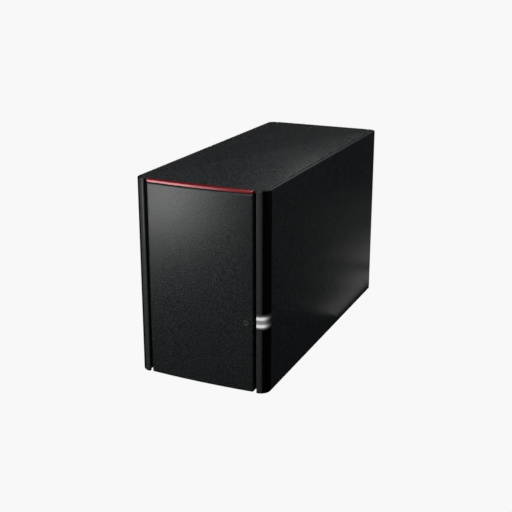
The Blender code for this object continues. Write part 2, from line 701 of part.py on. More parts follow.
def drive_cage():
    """A folded sheet box with a wall between its two bays, open at the front and the rear."""
    low = (-CAGE_X, CAGE_Y, CAGE_Z)
    cage = block("drive_cage", low, (CAGE_X, CAGE_END_Y, CAGE_TOP_Z))
    for side in (-1, 1):
        low = (side * SHEET / 2, CAGE_Y - PAST, BAY_Z)
        cut_block(cage, low, (side * BAY_X, CAGE_END_Y + PAST, BAY_TOP_Z))
    pitch = (CAGE_END_Y - CAGE_Y) / CAGE_WINDOWS
    for number in range(CAGE_WINDOWS):
        start = CAGE_Y + pitch * (number + 0.5) - CAGE_WINDOW / 2
        for side in (-1, 1):
            low = (side * (BAY_X - PAST), start, BAY_Z + CAGE_WINDOW_MARGIN)
            end = (side * (CAGE_X + PAST), start + CAGE_WINDOW, BAY_TOP_Z - CAGE_WINDOW_MARGIN)
            cut_block(cage, low, end)
    for side in (-1, 1):
        skirt = (side * BAY_X, CAGE_Y + SKIRT_INSET, FLOOR_Z)
        skirt_top = CAGE_Z + 3 * SHEET
        add_block(cage, skirt, (side * (CAGE_X - OVERLAP), CAGE_END_Y - SKIRT_INSET, skirt_top))
        low = (side * (BAY_X + GAP), CAGE_SCREW_Y - FLANGE_HALF_LENGTH, FLOOR_Z + OVERLAP)
        x = side * CAGE_SCREW_X
        end = (x + side * FLANGE_REACH, CAGE_SCREW_Y + FLANGE_HALF_LENGTH, FLOOR_Z + SHEET)
        add_block(cage, low, end)
        cut_rod(cage, (x, CAGE_SCREW_Y, 0), (x, CAGE_SCREW_Y, CAGE_Z), SHANK_RADIUS + GAP)
    paint(cage, "drive_cage_steel", STEEL, 0.4, 1.0)
    for name, side in (("left", -1), ("right", 1)):
        point = (side * CAGE_SCREW_X, CAGE_SCREW_Y, FLOOR_Z + SHEET + GAP)
        screw(f"cage_screw_{name}", point, (0, 0, -1), CAGE_SCREW_LENGTH)


def tray(side, centre_x):
    """A tray open on its left: a slotted face, two rails and a web down the right side."""
    low_x = centre_x - TRAY_X
    high_x = centre_x + TRAY_X
    before = TRAY_Y - PAST
    low = (low_x, TRAY_Y, TRAY_Z - OVERLAP)
    made = block(f"{side}_tray", low, (high_x, TRAY_Y + TRAY_FACE, TRAY_TOP_Z + OVERLAP))
    round_edges(made, 0.0005, 1)
    rail_start = TRAY_Y + TRAY_FACE - PAST
    for z in (TRAY_Z, TOP_RAIL_Z):
        low = (low_x + TRAY_INSET, rail_start, z)
        add_block(made, low, (high_x - TRAY_INSET, DRIVE_END_Y, z + RAIL))
    web_x = high_x - 2 * TRAY_INSET
    web = (web_x - TRAY_WEB, rail_start - TRAY_INSET, TRAY_Z + RAIL / 2)
    add_block(made, web, (web_x, DRIVE_END_Y - 0.0010, TOP_RAIL_Z + RAIL / 2))
    pitch = (DRIVE_END_Y - DRIVE_Y) / CAGE_WINDOWS
    for number in range(CAGE_WINDOWS):
        start = DRIVE_Y + pitch * (number + 0.5) - TRAY_WINDOW / 2
        low = (web[0] - PAST, start, DRIVE_Z + TRAY_WINDOW_MARGIN)
        end = (high_x + PAST, start + TRAY_WINDOW, DRIVE_TOP_Z - TRAY_WINDOW_MARGIN)
        cut_block(made, low, end)
    for number in range(FACE_SLOTS):
        x = centre_x + (number - (FACE_SLOTS - 1) / 2) * FACE_SLOT_PITCH
        low = (x - FACE_SLOT_WIDTH / 2, before, TRAY_Z + FACE_SLOT_LOW)
        end = (x + FACE_SLOT_WIDTH / 2, TRAY_Y + TRAY_FACE + PAST, TRAY_Z + FACE_SLOT_HIGH)
        cut_block(made, low, end)
    half = LATCH_WIDTH / 2 + LATCH_CLEARANCE
    low = (centre_x - half, before, TRAY_TOP_Z - LATCH_PAD - LATCH_TRAVEL_SPACE)
    cut_block(made, low, (centre_x + half, TRAY_Y + TRAY_FACE + GAP, TRAY_TOP_Z + PAST))
    low = (centre_x - half, TRAY_Y + TRAY_FACE / 2, TOP_RAIL_Z - PAST)
    cut_block(made, low, (centre_x + half, LATCH_PIVOT_Y + LATCH_THICKNESS, TRAY_TOP_Z + PAST))
    reach = LATCH_WIDTH / 2 + LATCH_PIN_REACH + LATCH_CLEARANCE
    start = (centre_x - reach, LATCH_PIVOT_Y, LATCH_PIVOT_Z)
    end = (centre_x + reach, LATCH_PIVOT_Y, LATCH_PIVOT_Z)
    cut_rod(made, start, end, LATCH_PIN_RADIUS + LATCH_PIN_PLAY)
    screw_x = centre_x - DRIVE_THICKNESS / 2 + DRIVE_HOLE_FROM_BOARD
    for y in drive_screw_places():
        cut_rod(made, (screw_x, y, 0), (screw_x, y, HEIGHT), SHANK_RADIUS + GAP)
        for z, out in ((TRAY_Z, -1), (TRAY_TOP_Z, 1)):
            inner = (screw_x, y, z - out * (HEAD_HEIGHT + GAP))
            cut_rod(made, inner, (screw_x, y, z + out * PAST), HEAD_RADIUS + GAP)
    paint(made, f"{side}_tray_plastic", DARK, 0.55)
    return made


def drive_screw_places():
    """The two side holes of a 3.5-inch drive, counted from its connector end."""
    rear = DRIVE_END_Y - DRIVE_HOLE_FROM_REAR
    return rear - DRIVE_HOLE_SPACING, rear


def tray_latch(side, centre_x):
    """A lever in the top of the tray. A press on its pad turns it down about its pin."""
    half = LATCH_WIDTH / 2
    arm_z = LATCH_PIVOT_Z - GAP
    arm_top = arm_z + LATCH_THICKNESS
    front_y = LATCH_PIVOT_Y - LATCH_REACH
    low = (centre_x - half, front_y, arm_z)
    end = (centre_x + half, LATCH_PIVOT_Y + LATCH_THICKNESS / 2, arm_top)
    latch = block(f"{side}_tray_latch", low, end)
    low = (centre_x - half + OVERLAP, front_y - 0.0014, TRAY_TOP_Z - LATCH_PAD)
    add_block(latch, low, (centre_x + half - OVERLAP, front_y + 0.0006, arm_top - OVERLAP))
    low = (centre_x - LATCH_HOOK_HALF_WIDTH, FRAME_Y + GAP, arm_top - 2 * GAP)
    end = (centre_x + LATCH_HOOK_HALF_WIDTH, FRAME_Y + 0.0020, TRAY_TOP_Z - GAP)
    add_block(latch, low, end)
    reach = half + LATCH_PIN_REACH
    start = (centre_x - reach, LATCH_PIVOT_Y, LATCH_PIVOT_Z)
    add_rod(latch, start, (centre_x + reach, LATCH_PIVOT_Y, LATCH_PIVOT_Z), LATCH_PIN_RADIUS)
    paint(latch, f"{side}_tray_latch_plastic", (0.05, 0.05, 0.055), 0.4)
    return latch


def drive(side, centre_x):
    """A sealed 3.5-inch drive: circuit board on the left, cast body, pressed lid on the right."""
    low_x = centre_x - DRIVE_THICKNESS / 2
    high_x = centre_x + DRIVE_THICKNESS / 2
    body_x = low_x + DRIVE_BOARD + GAP
    lid_x = high_x - DRIVE_LID
    low = (body_x, DRIVE_Y, DRIVE_Z)
    body = block(f"{side}_drive_body", low, (lid_x - GAP, DRIVE_END_Y, DRIVE_TOP_Z))
    round_edges(body, 0.0008, 1)
    centre_z = (DRIVE_Z + DRIVE_TOP_Z) / 2
    spindle_y = DRIVE_Y + SPINDLE_FROM_FRONT
    chamber = lid_x - CHAMBER_DEPTH
    start = (chamber, spindle_y, centre_z)
    end = (high_x + PAST, spindle_y, centre_z)
    cut_rod(body, start, end, DRIVE_WIDTH / 2 - CHAMBER_WALL, 32)
    low = (chamber + GAP, spindle_y + 0.0200, DRIVE_Z + 0.0080)
    cut_block(body, low, (high_x + PAST, DRIVE_END_Y - 0.0120, DRIVE_TOP_Z - 0.0080))
    half = SATA_LENGTH / 2 + 0.0010
    low = (body_x - PAST, DRIVE_END_Y - 0.0045, centre_z - half)
    cut_block(body, low, (body_x + SATA_DEPTH + 0.0008, DRIVE_END_Y + PAST, centre_z + half))
    screw_x = low_x + DRIVE_HOLE_FROM_BOARD
    for y in drive_screw_places():
        for z, inward in ((DRIVE_Z, 1), (DRIVE_TOP_Z, -1)):
            end = (screw_x, y, z + inward * DRIVE_HOLE_DEPTH)
            cut_rod(body, (screw_x, y, z - inward * PAST), end, SHANK_RADIUS + GAP)
    paint(body, f"{side}_drive_body_alloy", CAST, 0.45, 1.0)

    low = (lid_x, DRIVE_Y + LID_MARGIN, DRIVE_Z + LID_MARGIN)
    end = (high_x, DRIVE_END_Y - 1.5 * LID_MARGIN, DRIVE_TOP_Z - LID_MARGIN)
    lid = block(f"{side}_drive_lid", low, end)
    start = (high_x - LID_PANEL_DEPTH, spindle_y, centre_z)
    cut_rod(lid, start, (high_x + PAST, spindle_y, centre_z), LID_PANEL_RADIUS, 32)
    paint(lid, f"{side}_drive_lid_steel", STEEL, 0.3, 1.0)

    low = (low_x, DRIVE_Y + DRIVE_BOARD_START, DRIVE_Z + DRIVE_BOARD_MARGIN)
    end_y = DRIVE_END_Y - DRIVE_BOARD_END
    end = (low_x + DRIVE_BOARD, end_y, DRIVE_TOP_Z - DRIVE_BOARD_MARGIN)
    board = block(f"{side}_drive_board", low, end)
    start = (low_x - PAST, spindle_y, centre_z)
    cut_rod(board, start, (body_x, spindle_y, centre_z), MOTOR_HOLE_RADIUS, 24)
    paint(board, f"{side}_drive_board_laminate", GREEN, 0.5)
    number = 0
    screws = []
    for y in drive_screw_places():
        for z, inward in ((TRAY_Z, 1), (TRAY_TOP_Z, -1)):
            number += 1
            point = (screw_x, y, z + inward * HEAD_HEIGHT)
            name = f"{side}_drive_screw_{number}"
            screws.append(screw(name, point, (0, 0, inward), DRIVE_SCREW_LENGTH))
    return [body, lid, board, *screws]


# Boards, sockets and buttons --------------------------------------------------------


def backplane():
    centre_z = (DRIVE_Z + DRIVE_TOP_Z) / 2
    foot_z = PORT_Z + EDGE_TONGUE_RISE
    low = (-BAY_X + GAP, BACKPLANE_Y, PORT_Z + 0.0058)
    board = block("backplane_board", low, (BAY_X - GAP, BACKPLANE_Y + BOARD, DRIVE_TOP_Z - 0.0050))
    low = (-EDGE_TONGUE_X, BACKPLANE_Y + OVERLAP, foot_z)
    add_block(board, low, (EDGE_TONGUE_X, BACKPLANE_Y + BOARD - OVERLAP, PORT_Z + 0.0070))
    for centre_x in (-BAY_CENTRE_X, BAY_CENTRE_X):
        for z in (PORT_Z + 0.0200, centre_z + 0.0220):
            low = (centre_x - BACKPLANE_WINDOW / 2, BACKPLANE_Y - PAST, z)
            side_x = centre_x + BACKPLANE_WINDOW / 2
            cut_block(board, low, (side_x, BACKPLANE_Y + BOARD + PAST, z + BACKPLANE_WINDOW))
    paint(board, "backplane_board_laminate", GREEN, 0.5)

    around = EDGE_SLOT_WALL + GAP
    slot_x = EDGE_TONGUE_X + EDGE_SLOT_WALL
    low = (-slot_x, BACKPLANE_Y - around, PORT_Z)
    end = (slot_x, BACKPLANE_Y + BOARD + around, PORT_Z + EDGE_SLOT_HEIGHT)
    slot = block("edge_connector", low, end)
    low = (-EDGE_TONGUE_X - GAP, BACKPLANE_Y - GAP, foot_z - GAP)
    end = (EDGE_TONGUE_X + GAP, BACKPLANE_Y + BOARD + GAP, PORT_Z + EDGE_SLOT_HEIGHT + PAST)
    cut_block(slot, low, end)
    paint(slot, "edge_connector_plastic", DARK, 0.5)

    for side, centre_x in (("left", -BAY_CENTRE_X), ("right", BAY_CENTRE_X)):
        low_x = centre_x - DRIVE_THICKNESS / 2 + DRIVE_BOARD + 2 * GAP
        low = (low_x, DRIVE_END_Y - 0.0035, centre_z - SATA_LENGTH / 2)
        end = (low_x + SATA_DEPTH, BACKPLANE_Y - GAP, centre_z + SATA_LENGTH / 2)
        socket = block(f"{side}_sata_socket", low, end)
        round_edges(socket, 0.0003, 1)
        low = (low_x + SATA_SLOT_START, DRIVE_END_Y - 0.0045, centre_z - SATA_SLOT_LENGTH / 2)
        end = (low_x + SATA_SLOT_END, DRIVE_END_Y + 0.0010, centre_z + SATA_SLOT_LENGTH / 2)
        cut_block(socket, low, end)
        paint(socket, f"{side}_sata_socket_plastic", DARK, 0.5)


def main_board():
    low = (-BOARD_X, BOARD_START_Y, BOARD_Z)
    board = block("main_board", low, (BOARD_X, BOARD_END_Y, BOARD_TOP_Z))
    for side in (-1, 1):
        for y in (POST_Y_FRONT, BOARD_END_Y - POST_FROM_REAR):
            x = side * (BOARD_X - POST_FROM_SIDE)
            cut_rod(board, (x, y, BOARD_Z - PAST), (x, y, BOARD_TOP_Z + PAST), POST_HOLE_RADIUS)
    paint(board, "main_board_laminate", GREEN, 0.5)
    low = Vector((-CHIP_SIZE[0] / 2, BACKPLANE_Y + 0.0055, PORT_Z))
    chip = block("processor", low, low + Vector(CHIP_SIZE))
    paint(chip, "processor_plastic", DARK, 0.5)
    low = Vector((-SINK_SIZE[0] / 2, BACKPLANE_Y + 0.0048, PORT_Z + CHIP_SIZE[2] + GAP))
    sink = block("processor_heatsink", low, low + Vector(SINK_SIZE))
    first = (SINK_SIZE[0] - SINK_PITCH * (SINK_FINS - 1) + SINK_FIN) / 2
    groove = Vector((SINK_PITCH - SINK_FIN, SINK_SIZE[1] + 2 * PAST, SINK_SIZE[2]))
    for number in range(SINK_FINS - 1):
        corner = low + Vector((first + number * SINK_PITCH, -PAST, SINK_BASE))
        cut_block(sink, corner, corner + groove)
    paint(sink, "processor_heatsink_alloy", CAST, 0.4, 1.0)


def port(name, size, x):
    """A connector body on the main board, its mouth just proud of the rear panel."""
    low = (x - size[0] / 2, REAR_PANEL_OUT + GAP - size[1], PORT_Z)
    return block(name, low, (x + size[0] / 2, REAR_PANEL_OUT + GAP, PORT_Z + size[2]))


def sockets():
    face = REAR_PANEL_OUT + GAP
    mouth = face + PAST
    jack = port("network_jack", NETWORK_SIZE, NETWORK_X)
    half = NETWORK_PLUG_WIDTH / 2
    low = (NETWORK_X - half, face - NETWORK_PLUG_DEPTH, PORT_Z + 0.0028)
    cut_block(jack, low, (NETWORK_X + half, mouth, PORT_Z + 0.0108))
    low = (NETWORK_X - half / 2, REAR_PANEL_OUT - 0.0080, PORT_Z + 0.0016)
    cut_block(jack, low, (NETWORK_X + half / 2, mouth, PORT_Z + 0.0040))
    paint(jack, "network_jack_steel", STEEL, 0.35, 1.0)
    usb = port("usb_socket", USB_SIZE, USB_X)
    low = (USB_X - USB_MOUTH_WIDTH / 2, REAR_PANEL_OUT - 0.0110, PORT_Z + 0.0006)
    cut_block(usb, low, (USB_X + USB_MOUTH_WIDTH / 2, mouth, PORT_Z + 0.0052))
    low = (USB_X - USB_TONGUE_WIDTH / 2, REAR_PANEL_OUT - 0.0120, PORT_Z + 0.0030)
    end = (USB_X + USB_TONGUE_WIDTH / 2, REAR_PANEL_OUT - 0.0010, PORT_Z + 0.0046)
    add_block(usb, low, end)
    paint(usb, "usb_socket_steel", STEEL, 0.35, 1.0)
    power = port("power_jack", POWER_SIZE, POWER_X)
    round_edges(power, 0.0004, 1)
    start = (POWER_X, REAR_PANEL_OUT - 0.0100, BUTTON_Z)
    cut_rod(power, start, (POWER_X, mouth, BUTTON_Z), POWER_BORE_RADIUS, 24)
    start = (POWER_X, REAR_PANEL_OUT - 0.0110, BUTTON_Z)
    add_rod(power, start, (POWER_X, REAR_PANEL_OUT - 0.0010, BUTTON_Z), POWER_PIN_RADIUS)
    paint(power, "power_jack_plastic", DARK, 0.4)


def button(name, x, radius):
    """A round button: a cap through the rear panel, a flange behind it and a stem."""
    tip = (x, REAR_PANEL_OUT + BUTTON_PROUD, BUTTON_Z)
    cap = rod(name, (x, FAN_Y - BUTTON_FLANGE, BUTTON_Z), tip, radius)
    round_edges(cap, SEAM_ROUND, 1)
    start = (x, FAN_Y - 2 * BUTTON_FLANGE, BUTTON_Z)
    add_rod(cap, start, (x, FAN_Y, BUTTON_Z), radius + BUTTON_FLANGE, 20)
    start = (x, FAN_Y - BUTTON_STEM, BUTTON_Z)
    add_rod(cap, start, (x, FAN_Y - 0.0010, BUTTON_Z), BUTTON_STEM_RADIUS)
    paint(cap, name + "_plastic", BLACK, 0.4)
    return cap


def switch(name, x):
    """A small board switch behind a button, just out of reach of its stem at full travel."""
    face_y = FAN_Y - BUTTON_STEM - BUTTON_TRAVEL - 0.0002
    low = (x - 0.0030, face_y - 0.0050, PORT_Z)
    made = block(name, low, (x + 0.0030, face_y - 0.0008, BUTTON_Z + 0.0030))
    add_rod(made, (x, face_y - 0.0020, BUTTON_Z), (x, face_y, BUTTON_Z), 0.0015, 12)
    paint(made, name + "_plastic", DARK, 0.5)


# Fan --------------------------------------------------------------------------------


def fan():
    half = FAN_SIZE / 2
    front_y = FAN_Y - FAN_DEPTH
    frame = block("fan_frame", (-half, front_y, FAN_Z - half), (half, FAN_Y, FAN_Z + half))
    cut_rod(frame, (0, front_y + 0.0020, FAN_Z), (0, FAN_Y + PAST, FAN_Z), FAN_BORE, 48)
    for eighth in range(8):
        turn = Matrix.Rotation(math.radians(45 * eighth), 3, "Y")
        middle = turn @ Vector((FAN_INLET_RING, 0, 0))
        start = (middle.x, front_y - PAST, FAN_Z + middle.z)
        end = (middle.x, front_y + 3 * PAST, FAN_Z + middle.z)
        cut_rod(frame, start, end, FAN_INLET_RADIUS)
    for x in (-FAN_HOLE, FAN_HOLE):
        for z in (FAN_Z - FAN_HOLE, FAN_Z + FAN_HOLE):
            cut_rod(frame, (x, front_y - PAST, z), (x, FAN_Y + PAST, z), SHANK_RADIUS + GAP)
    end = (0, front_y + 3 * PAST, FAN_Z)
    cut_rod(frame, (0, front_y - PAST, FAN_Z), end, FAN_AXLE_RADIUS + 0.0001)
    paint(frame, "fan_frame_plastic", DARK, 0.5)

    blade_middle = FAN_Y - 0.0062
    bm = bmesh.new()
    for number in range(FAN_BLADES):
        around = Matrix.Rotation(2 * math.pi * number / FAN_BLADES, 4, "Y")
        out = Matrix.Translation((0, 0, (FAN_HUB + FAN_TIP) / 2))
        pitch = Matrix.Rotation(math.radians(FAN_BLADE_PITCH), 4, "Z")
        size = Matrix.Diagonal((*FAN_BLADE, FAN_TIP - FAN_HUB + 0.0060, 1))
        place = Matrix.Translation((0, blade_middle, FAN_Z)) @ around @ out @ pitch @ size
        bmesh.ops.create_cube(bm, size=1, matrix=place)
    rotor = object_from_bmesh("fan_rotor", bm, STORAGE)
    start = (0, front_y + 0.0030, FAN_Z)
    sweep = rod("fan_sweep", start, (0, FAN_Y - 0.0010, FAN_Z), FAN_TIP, 48, CUTTERS)
    combine(rotor, sweep, "INTERSECT")
    add_rod(rotor, (0, front_y + 0.0026, FAN_Z), (0, FAN_Y - 0.0015, FAN_Z), FAN_HUB, 32)
    end = (0, front_y + 0.0040, FAN_Z)
    add_rod(rotor, (0, front_y + 0.0006, FAN_Z), end, FAN_AXLE_RADIUS)
    paint(rotor, "fan_rotor_plastic", DARK, 0.4)

    number = 0
    for x in (-FAN_HOLE, FAN_HOLE):
        for z in (FAN_Z - FAN_HOLE, FAN_Z + FAN_HOLE):
            number += 1
            point = (x, REAR_PANEL_OUT - SEAT_DEPTH + GAP, z)
            screw(f"fan_screw_{number}", point, (0, -1, 0), FAN_SCREW_LENGTH)
    return rotor


def rear_screws():
    number = 0
    for x in (-REAR_SCREW_X, REAR_SCREW_X):
        for z in (REAR_SCREW_LOW_Z, REAR_SCREW_TOP_Z):
            number += 1
            point = (x, REAR_PANEL_OUT - SEAT_DEPTH + GAP, z)
            screw(f"rear_screw_{number}", point, (0, -1, 0), REAR_SCREW_LENGTH)


def fan_lead():
    """The fan's wires in one sleeve, from the fan frame's lower edge down to the main board."""
    radius = 0.0012
    start = Vector((0.0230, FAN_Y - FAN_DEPTH + 0.0050, FAN_Z - FAN_SIZE / 2 - GAP))
    end = Vector((0.0230, BACKPLANE_Y + 0.0100, PORT_Z))
    down = Vector((0, 0, -0.0150))
    steps = 12
    curve = bpy.data.curves.new("fan_lead", "CURVE")
    curve.dimensions = "3D"
    curve.bevel_depth = radius
    curve.bevel_resolution = 2
    curve.use_fill_caps = True
    spline = curve.splines.new("POLY")
    spline.points.add(steps)
    for i, point in enumerate(spline.points):
        t = i / steps
        blend = t * t * (3 - 2 * t)
        sag = down * 4 * t * (1 - t) * (0.5 - t) * 0.5
        x, y, z = start + Vector((0, (end.y - start.y) * blend, (end.z - start.z) * t)) + sag
        point.co = (x, y, z, 1)
    lead = bpy.data.objects.new("fan_lead", curve)
    STORAGE.objects.link(lead)
    paint(lead, "fan_lead_sleeve", DARK, 0.6)


# Assembly ---------------------------------------------------------------------------


def joint_empty(name, location, pieces):
    """An empty on a joint's axis, with the pieces that move on it as its children."""
    pivot = bpy.data.objects.new(name, None)
    pivot.location = location
    pivot.empty_display_size = 0.01
    STORAGE.objects.link(pivot)
    for piece in pieces:
        piece.parent = pivot
        piece.matrix_parent_inverse = Matrix.Translation(location).inverted()
    return pivot


side_cover("left_side_cover", -1)
side_cover("right_side_cover", 1)
top_cover()
base_panel()
rear_panel()
front_frame()
status_light()
feet()
drive_cage()
backplane()
main_board()
sockets()
switch("power_switch", POWER_BUTTON_X)
switch("function_switch", FUNCTION_BUTTON_X)
rear_screws()
fan_lead()

joint_empty("front_cover_slide", (0, FRONT_Y, HEIGHT / 2), [front_cover(), accent_strip()])
for tray_side, tray_x in (("left", -BAY_CENTRE_X), ("right", BAY_CENTRE_X)):
    slide_point = (tray_x, TRAY_Y, (TRAY_Z + TRAY_TOP_Z) / 2)
    pivot_point = (tray_x, LATCH_PIVOT_Y, LATCH_PIVOT_Z)
    load = [tray(tray_side, tray_x), *drive(tray_side, tray_x)]
    joint_empty(f"{tray_side}_tray_slide", slide_point, load)
    joint_empty(f"{tray_side}_latch_pivot", pivot_point, [tray_latch(tray_side, tray_x)])
for button_name, (button_x, button_radius) in zip(("power_button", "function_button"), BUTTONS):
    press_point = (button_x, REAR_PANEL_OUT, BUTTON_Z)
    pressed = button(button_name, button_x, button_radius)
    joint_empty(f"{button_name}_slide", press_point, [pressed])
joint_empty("fan_axis", (0, FAN_Y, FAN_Z), [fan()])
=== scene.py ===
import json
import math

import bmesh
import bpy
import numpy as np
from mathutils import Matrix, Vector


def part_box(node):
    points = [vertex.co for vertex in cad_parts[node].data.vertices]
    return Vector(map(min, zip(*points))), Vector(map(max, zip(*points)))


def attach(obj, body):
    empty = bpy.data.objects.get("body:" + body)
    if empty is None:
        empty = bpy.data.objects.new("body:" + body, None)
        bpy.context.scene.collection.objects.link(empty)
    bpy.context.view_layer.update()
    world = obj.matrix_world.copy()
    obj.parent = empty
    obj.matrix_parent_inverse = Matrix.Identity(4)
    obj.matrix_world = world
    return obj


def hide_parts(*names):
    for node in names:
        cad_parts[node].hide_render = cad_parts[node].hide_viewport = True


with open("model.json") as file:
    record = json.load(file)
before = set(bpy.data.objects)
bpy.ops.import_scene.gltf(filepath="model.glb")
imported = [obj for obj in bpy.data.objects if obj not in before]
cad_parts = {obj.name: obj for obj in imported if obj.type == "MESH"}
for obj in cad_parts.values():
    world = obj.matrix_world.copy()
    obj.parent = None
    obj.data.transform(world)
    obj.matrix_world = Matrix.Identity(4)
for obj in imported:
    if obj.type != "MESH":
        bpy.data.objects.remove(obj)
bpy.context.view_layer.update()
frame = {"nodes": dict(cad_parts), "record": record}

mm = 0.001
print("frame loaded:", len(frame["nodes"]), "nodes")


# ---- colours, nodes and meshes

def linear(code):
    # sRGB hex to linear: below 0.04045 divided by 12.92, above it ((c + 0.055) / 1.055) to the power 2.4
    parts = [int(code[i:i + 2], 16) / 255 for i in (1, 3, 5)]
    return tuple(c / 12.92 if c <= 0.04045 else ((c + 0.055) / 1.055) ** 2.4 for c in parts)


def setInputs(tree, node, inputs):
    # each input gets a fixed value, or a link from another node's output
    for key, value in inputs.items():
        if isinstance(value, bpy.types.NodeSocket):
            tree.links.new(value, node.inputs[key])
        else:
            node.inputs[key].default_value = value


def addNode(tree, kind, settings=None, inputs=None, stops=()):
    # one node with its settings, its inputs and, on a colour ramp, its two colour stops
    node = tree.nodes.new(kind)
    for key, value in (settings or {}).items():
        setattr(node, key, value)
    setInputs(tree, node, inputs or {})
    for number, (position, colour) in enumerate(stops):
        node.color_ramp.elements[number].position = position
        node.color_ramp.elements[number].color = (*colour, 1)
    return node.outputs


def newMaterial(name, inputs):
    # a Principled material with fixed inputs; returns it with its tree, shader and Object coordinates
    made = bpy.data.materials.new(name)
    made.use_nodes = True
    tree = made.node_tree
    shader = tree.nodes["Principled BSDF"]
    setInputs(tree, shader, inputs)
    return made, tree, shader, addNode(tree, "ShaderNodeTexCoord")["Object"]


def scaleColour(colour, factor):
    return tuple(min(1.0, c * factor) for c in colour)


def gridQuads(rows, columns):
    # corner numbers of every cell between closed rings, ring after ring
    across = np.arange(columns)
    along = np.arange(rows - 1)[:, None]
    here = along * columns + across
    beside = along * columns + (across + 1) % columns
    return np.stack([here, beside, beside + columns, here + columns], -1).reshape(-1, 4)


def pieceFromMesh(name, points, faces, look, body, replaced=(), sharp=35):
    # a mesh piece from points and faces, its normals made to point outwards
    mesh = bpy.data.meshes.new(name)
    mesh.from_pydata(np.asarray(points).tolist(), [], faces)
    bm = bmesh.new()
    bm.from_mesh(mesh)
    bmesh.ops.recalc_face_normals(bm, faces=bm.faces)
    bm.to_mesh(mesh)
    bm.free()
    return finishPiece(name, mesh, look, body, replaced, sharp)


def finishPiece(name, mesh, look, body, replaced=(), sharp=35):
    mesh.shade_smooth()
    mesh.set_sharp_from_angle(angle=math.radians(sharp))
    piece = bpy.data.objects.new(name, mesh)
    bpy.context.scene.collection.objects.link(piece)
    mesh.materials.clear()
    mesh.materials.append(look)
    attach(piece, body)
    if replaced:
        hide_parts(*replaced)
    return piece


def lofts(name, many, look, body, replaced=(), sharp=35):
    # one piece of several lofts: closed rings joined in a row, with a flat cap on each end
    points, faces, start = [], [], 0
    for rings in many:
        rings = np.asarray(rings, float)
        rows, columns = rings.shape[:2]
        faces += (gridQuads(rows, columns) + start).tolist()
        faces.append([start + i for i in range(columns)][::-1])
        faces.append([start + (rows - 1) * columns + i for i in range(columns)])
        points.append(rings.reshape(-1, 3))
        start += rows * columns
    return pieceFromMesh(name, np.concatenate(points), faces, look, body, replaced, sharp)


def loft(name, rings, look, body, replaced=(), sharp=35):
    return lofts(name, [rings], look, body, replaced, sharp)


def arcPoints(centre, radius, startDegrees, endDegrees, steps):
    # points on a circle: centre + radius (cos a, sin a)
    a = np.radians(np.linspace(startDegrees, endDegrees, steps + 1))
    return np.stack([centre[0] + radius * np.cos(a), centre[1] + radius * np.sin(a)], -1)


def outlineNormals(outline, closed=True):
    # outward normal of an anticlockwise outline: its direction turned right by 90 degrees
    if closed:
        step = np.roll(outline, -1, 0) - np.roll(outline, 1, 0)
    else:
        step = np.gradient(outline, axis=0)
    step = step / np.linalg.norm(step, axis=1, keepdims=True)
    return np.stack([step[:, 1], -step[:, 0]], -1)


def roundedBox(low, high, radius, steps=3):
    # rings of a box with rounded edges: a rounded rectangle in plan, drawn in and raised along a
    # quarter circle at both ends
    low, high = np.array(low, float), np.array(high, float)
    radius = min(radius, 0.49 * (high - low).min())

    def plan(inset):
        r = max(radius - inset, 1e-6)
        corners = [(high[0] - radius, high[1] - radius, 0), (low[0] + radius, high[1] - radius, 90),
                   (low[0] + radius, low[1] + radius, 180), (high[0] - radius, low[1] + radius, 270)]
        return np.concatenate([arcPoints((x, y), r, a, a + 90, steps) for x, y, a in corners])

    quarter = np.linspace(0, math.pi / 2, steps + 1)
    rings = []
    for t in quarter:
        rings.append((radius * (1 - math.sin(t)), low[2] + radius * (1 - math.cos(t))))
    for t in quarter[::-1]:
        rings.append((radius * (1 - math.sin(t)), high[2] - radius * (1 - math.cos(t))))
    made = []
    for inset, z in rings:
        ring = plan(inset)
        made.append(np.column_stack([ring, np.full(len(ring), z)]))
    return np.array(made)


def crossAxes(axis):
    # two directions square to an axis
    side = np.array([0.0, 0.0, 1.0]) if abs(axis[2]) < 0.5 else np.array([1.0, 0.0, 0.0])
    return side, np.cross(axis, side)


def turned(profile, centre, axis, sides=48):
    # rings of a turned shape: (radius, distance along the axis) pairs carried round the axis
    axis = np.array(axis, float)
    side, other = crossAxes(axis)
    a = np.linspace(0, 2 * math.pi, sides, endpoint=False)
    outward = np.cos(a)[:, None] * side + np.sin(a)[:, None] * other
    return np.array([np.array(centre) + axis * along + outward * radius for radius, along in profile])


soft = {"merge": 0.004 * mm, "flat": math.radians(0.6), "bevelFrom": math.radians(46), "sharp": 32,
        "segments": 2}


def softened(node, look, body, width):
    # a CAD node's copy with its loose triangles merged, flat faces joined and edges rounded
    mesh = frame["nodes"][node].data.copy()
    bm = bmesh.new()
    bm.from_mesh(mesh)
    bmesh.ops.remove_doubles(bm, verts=bm.verts, dist=soft["merge"])
    bmesh.ops.dissolve_limit(bm, angle_limit=soft["flat"], verts=bm.verts, edges=bm.edges)
    bm.to_mesh(mesh)
    bm.free()
    for name in [a.name for a in mesh.attributes if a.name.startswith("custom_normal")]:
        mesh.attributes.remove(mesh.attributes[name])
    piece = finishPiece(node + "_finished", mesh, look, body, [node], soft["sharp"])
    bevel = piece.modifiers.new("soft edges", "BEVEL")
    bevel.width = width * mm
    bevel.segments = soft["segments"]
    bevel.limit_method = "ANGLE"
    bevel.angle_limit = soft["bevelFrom"]
    bevel.harden_normals = True


bodyOf = {node: body for body, nodes in frame["record"]["behaviour"]["bodies"].items() for node in nodes}


# ---- materials

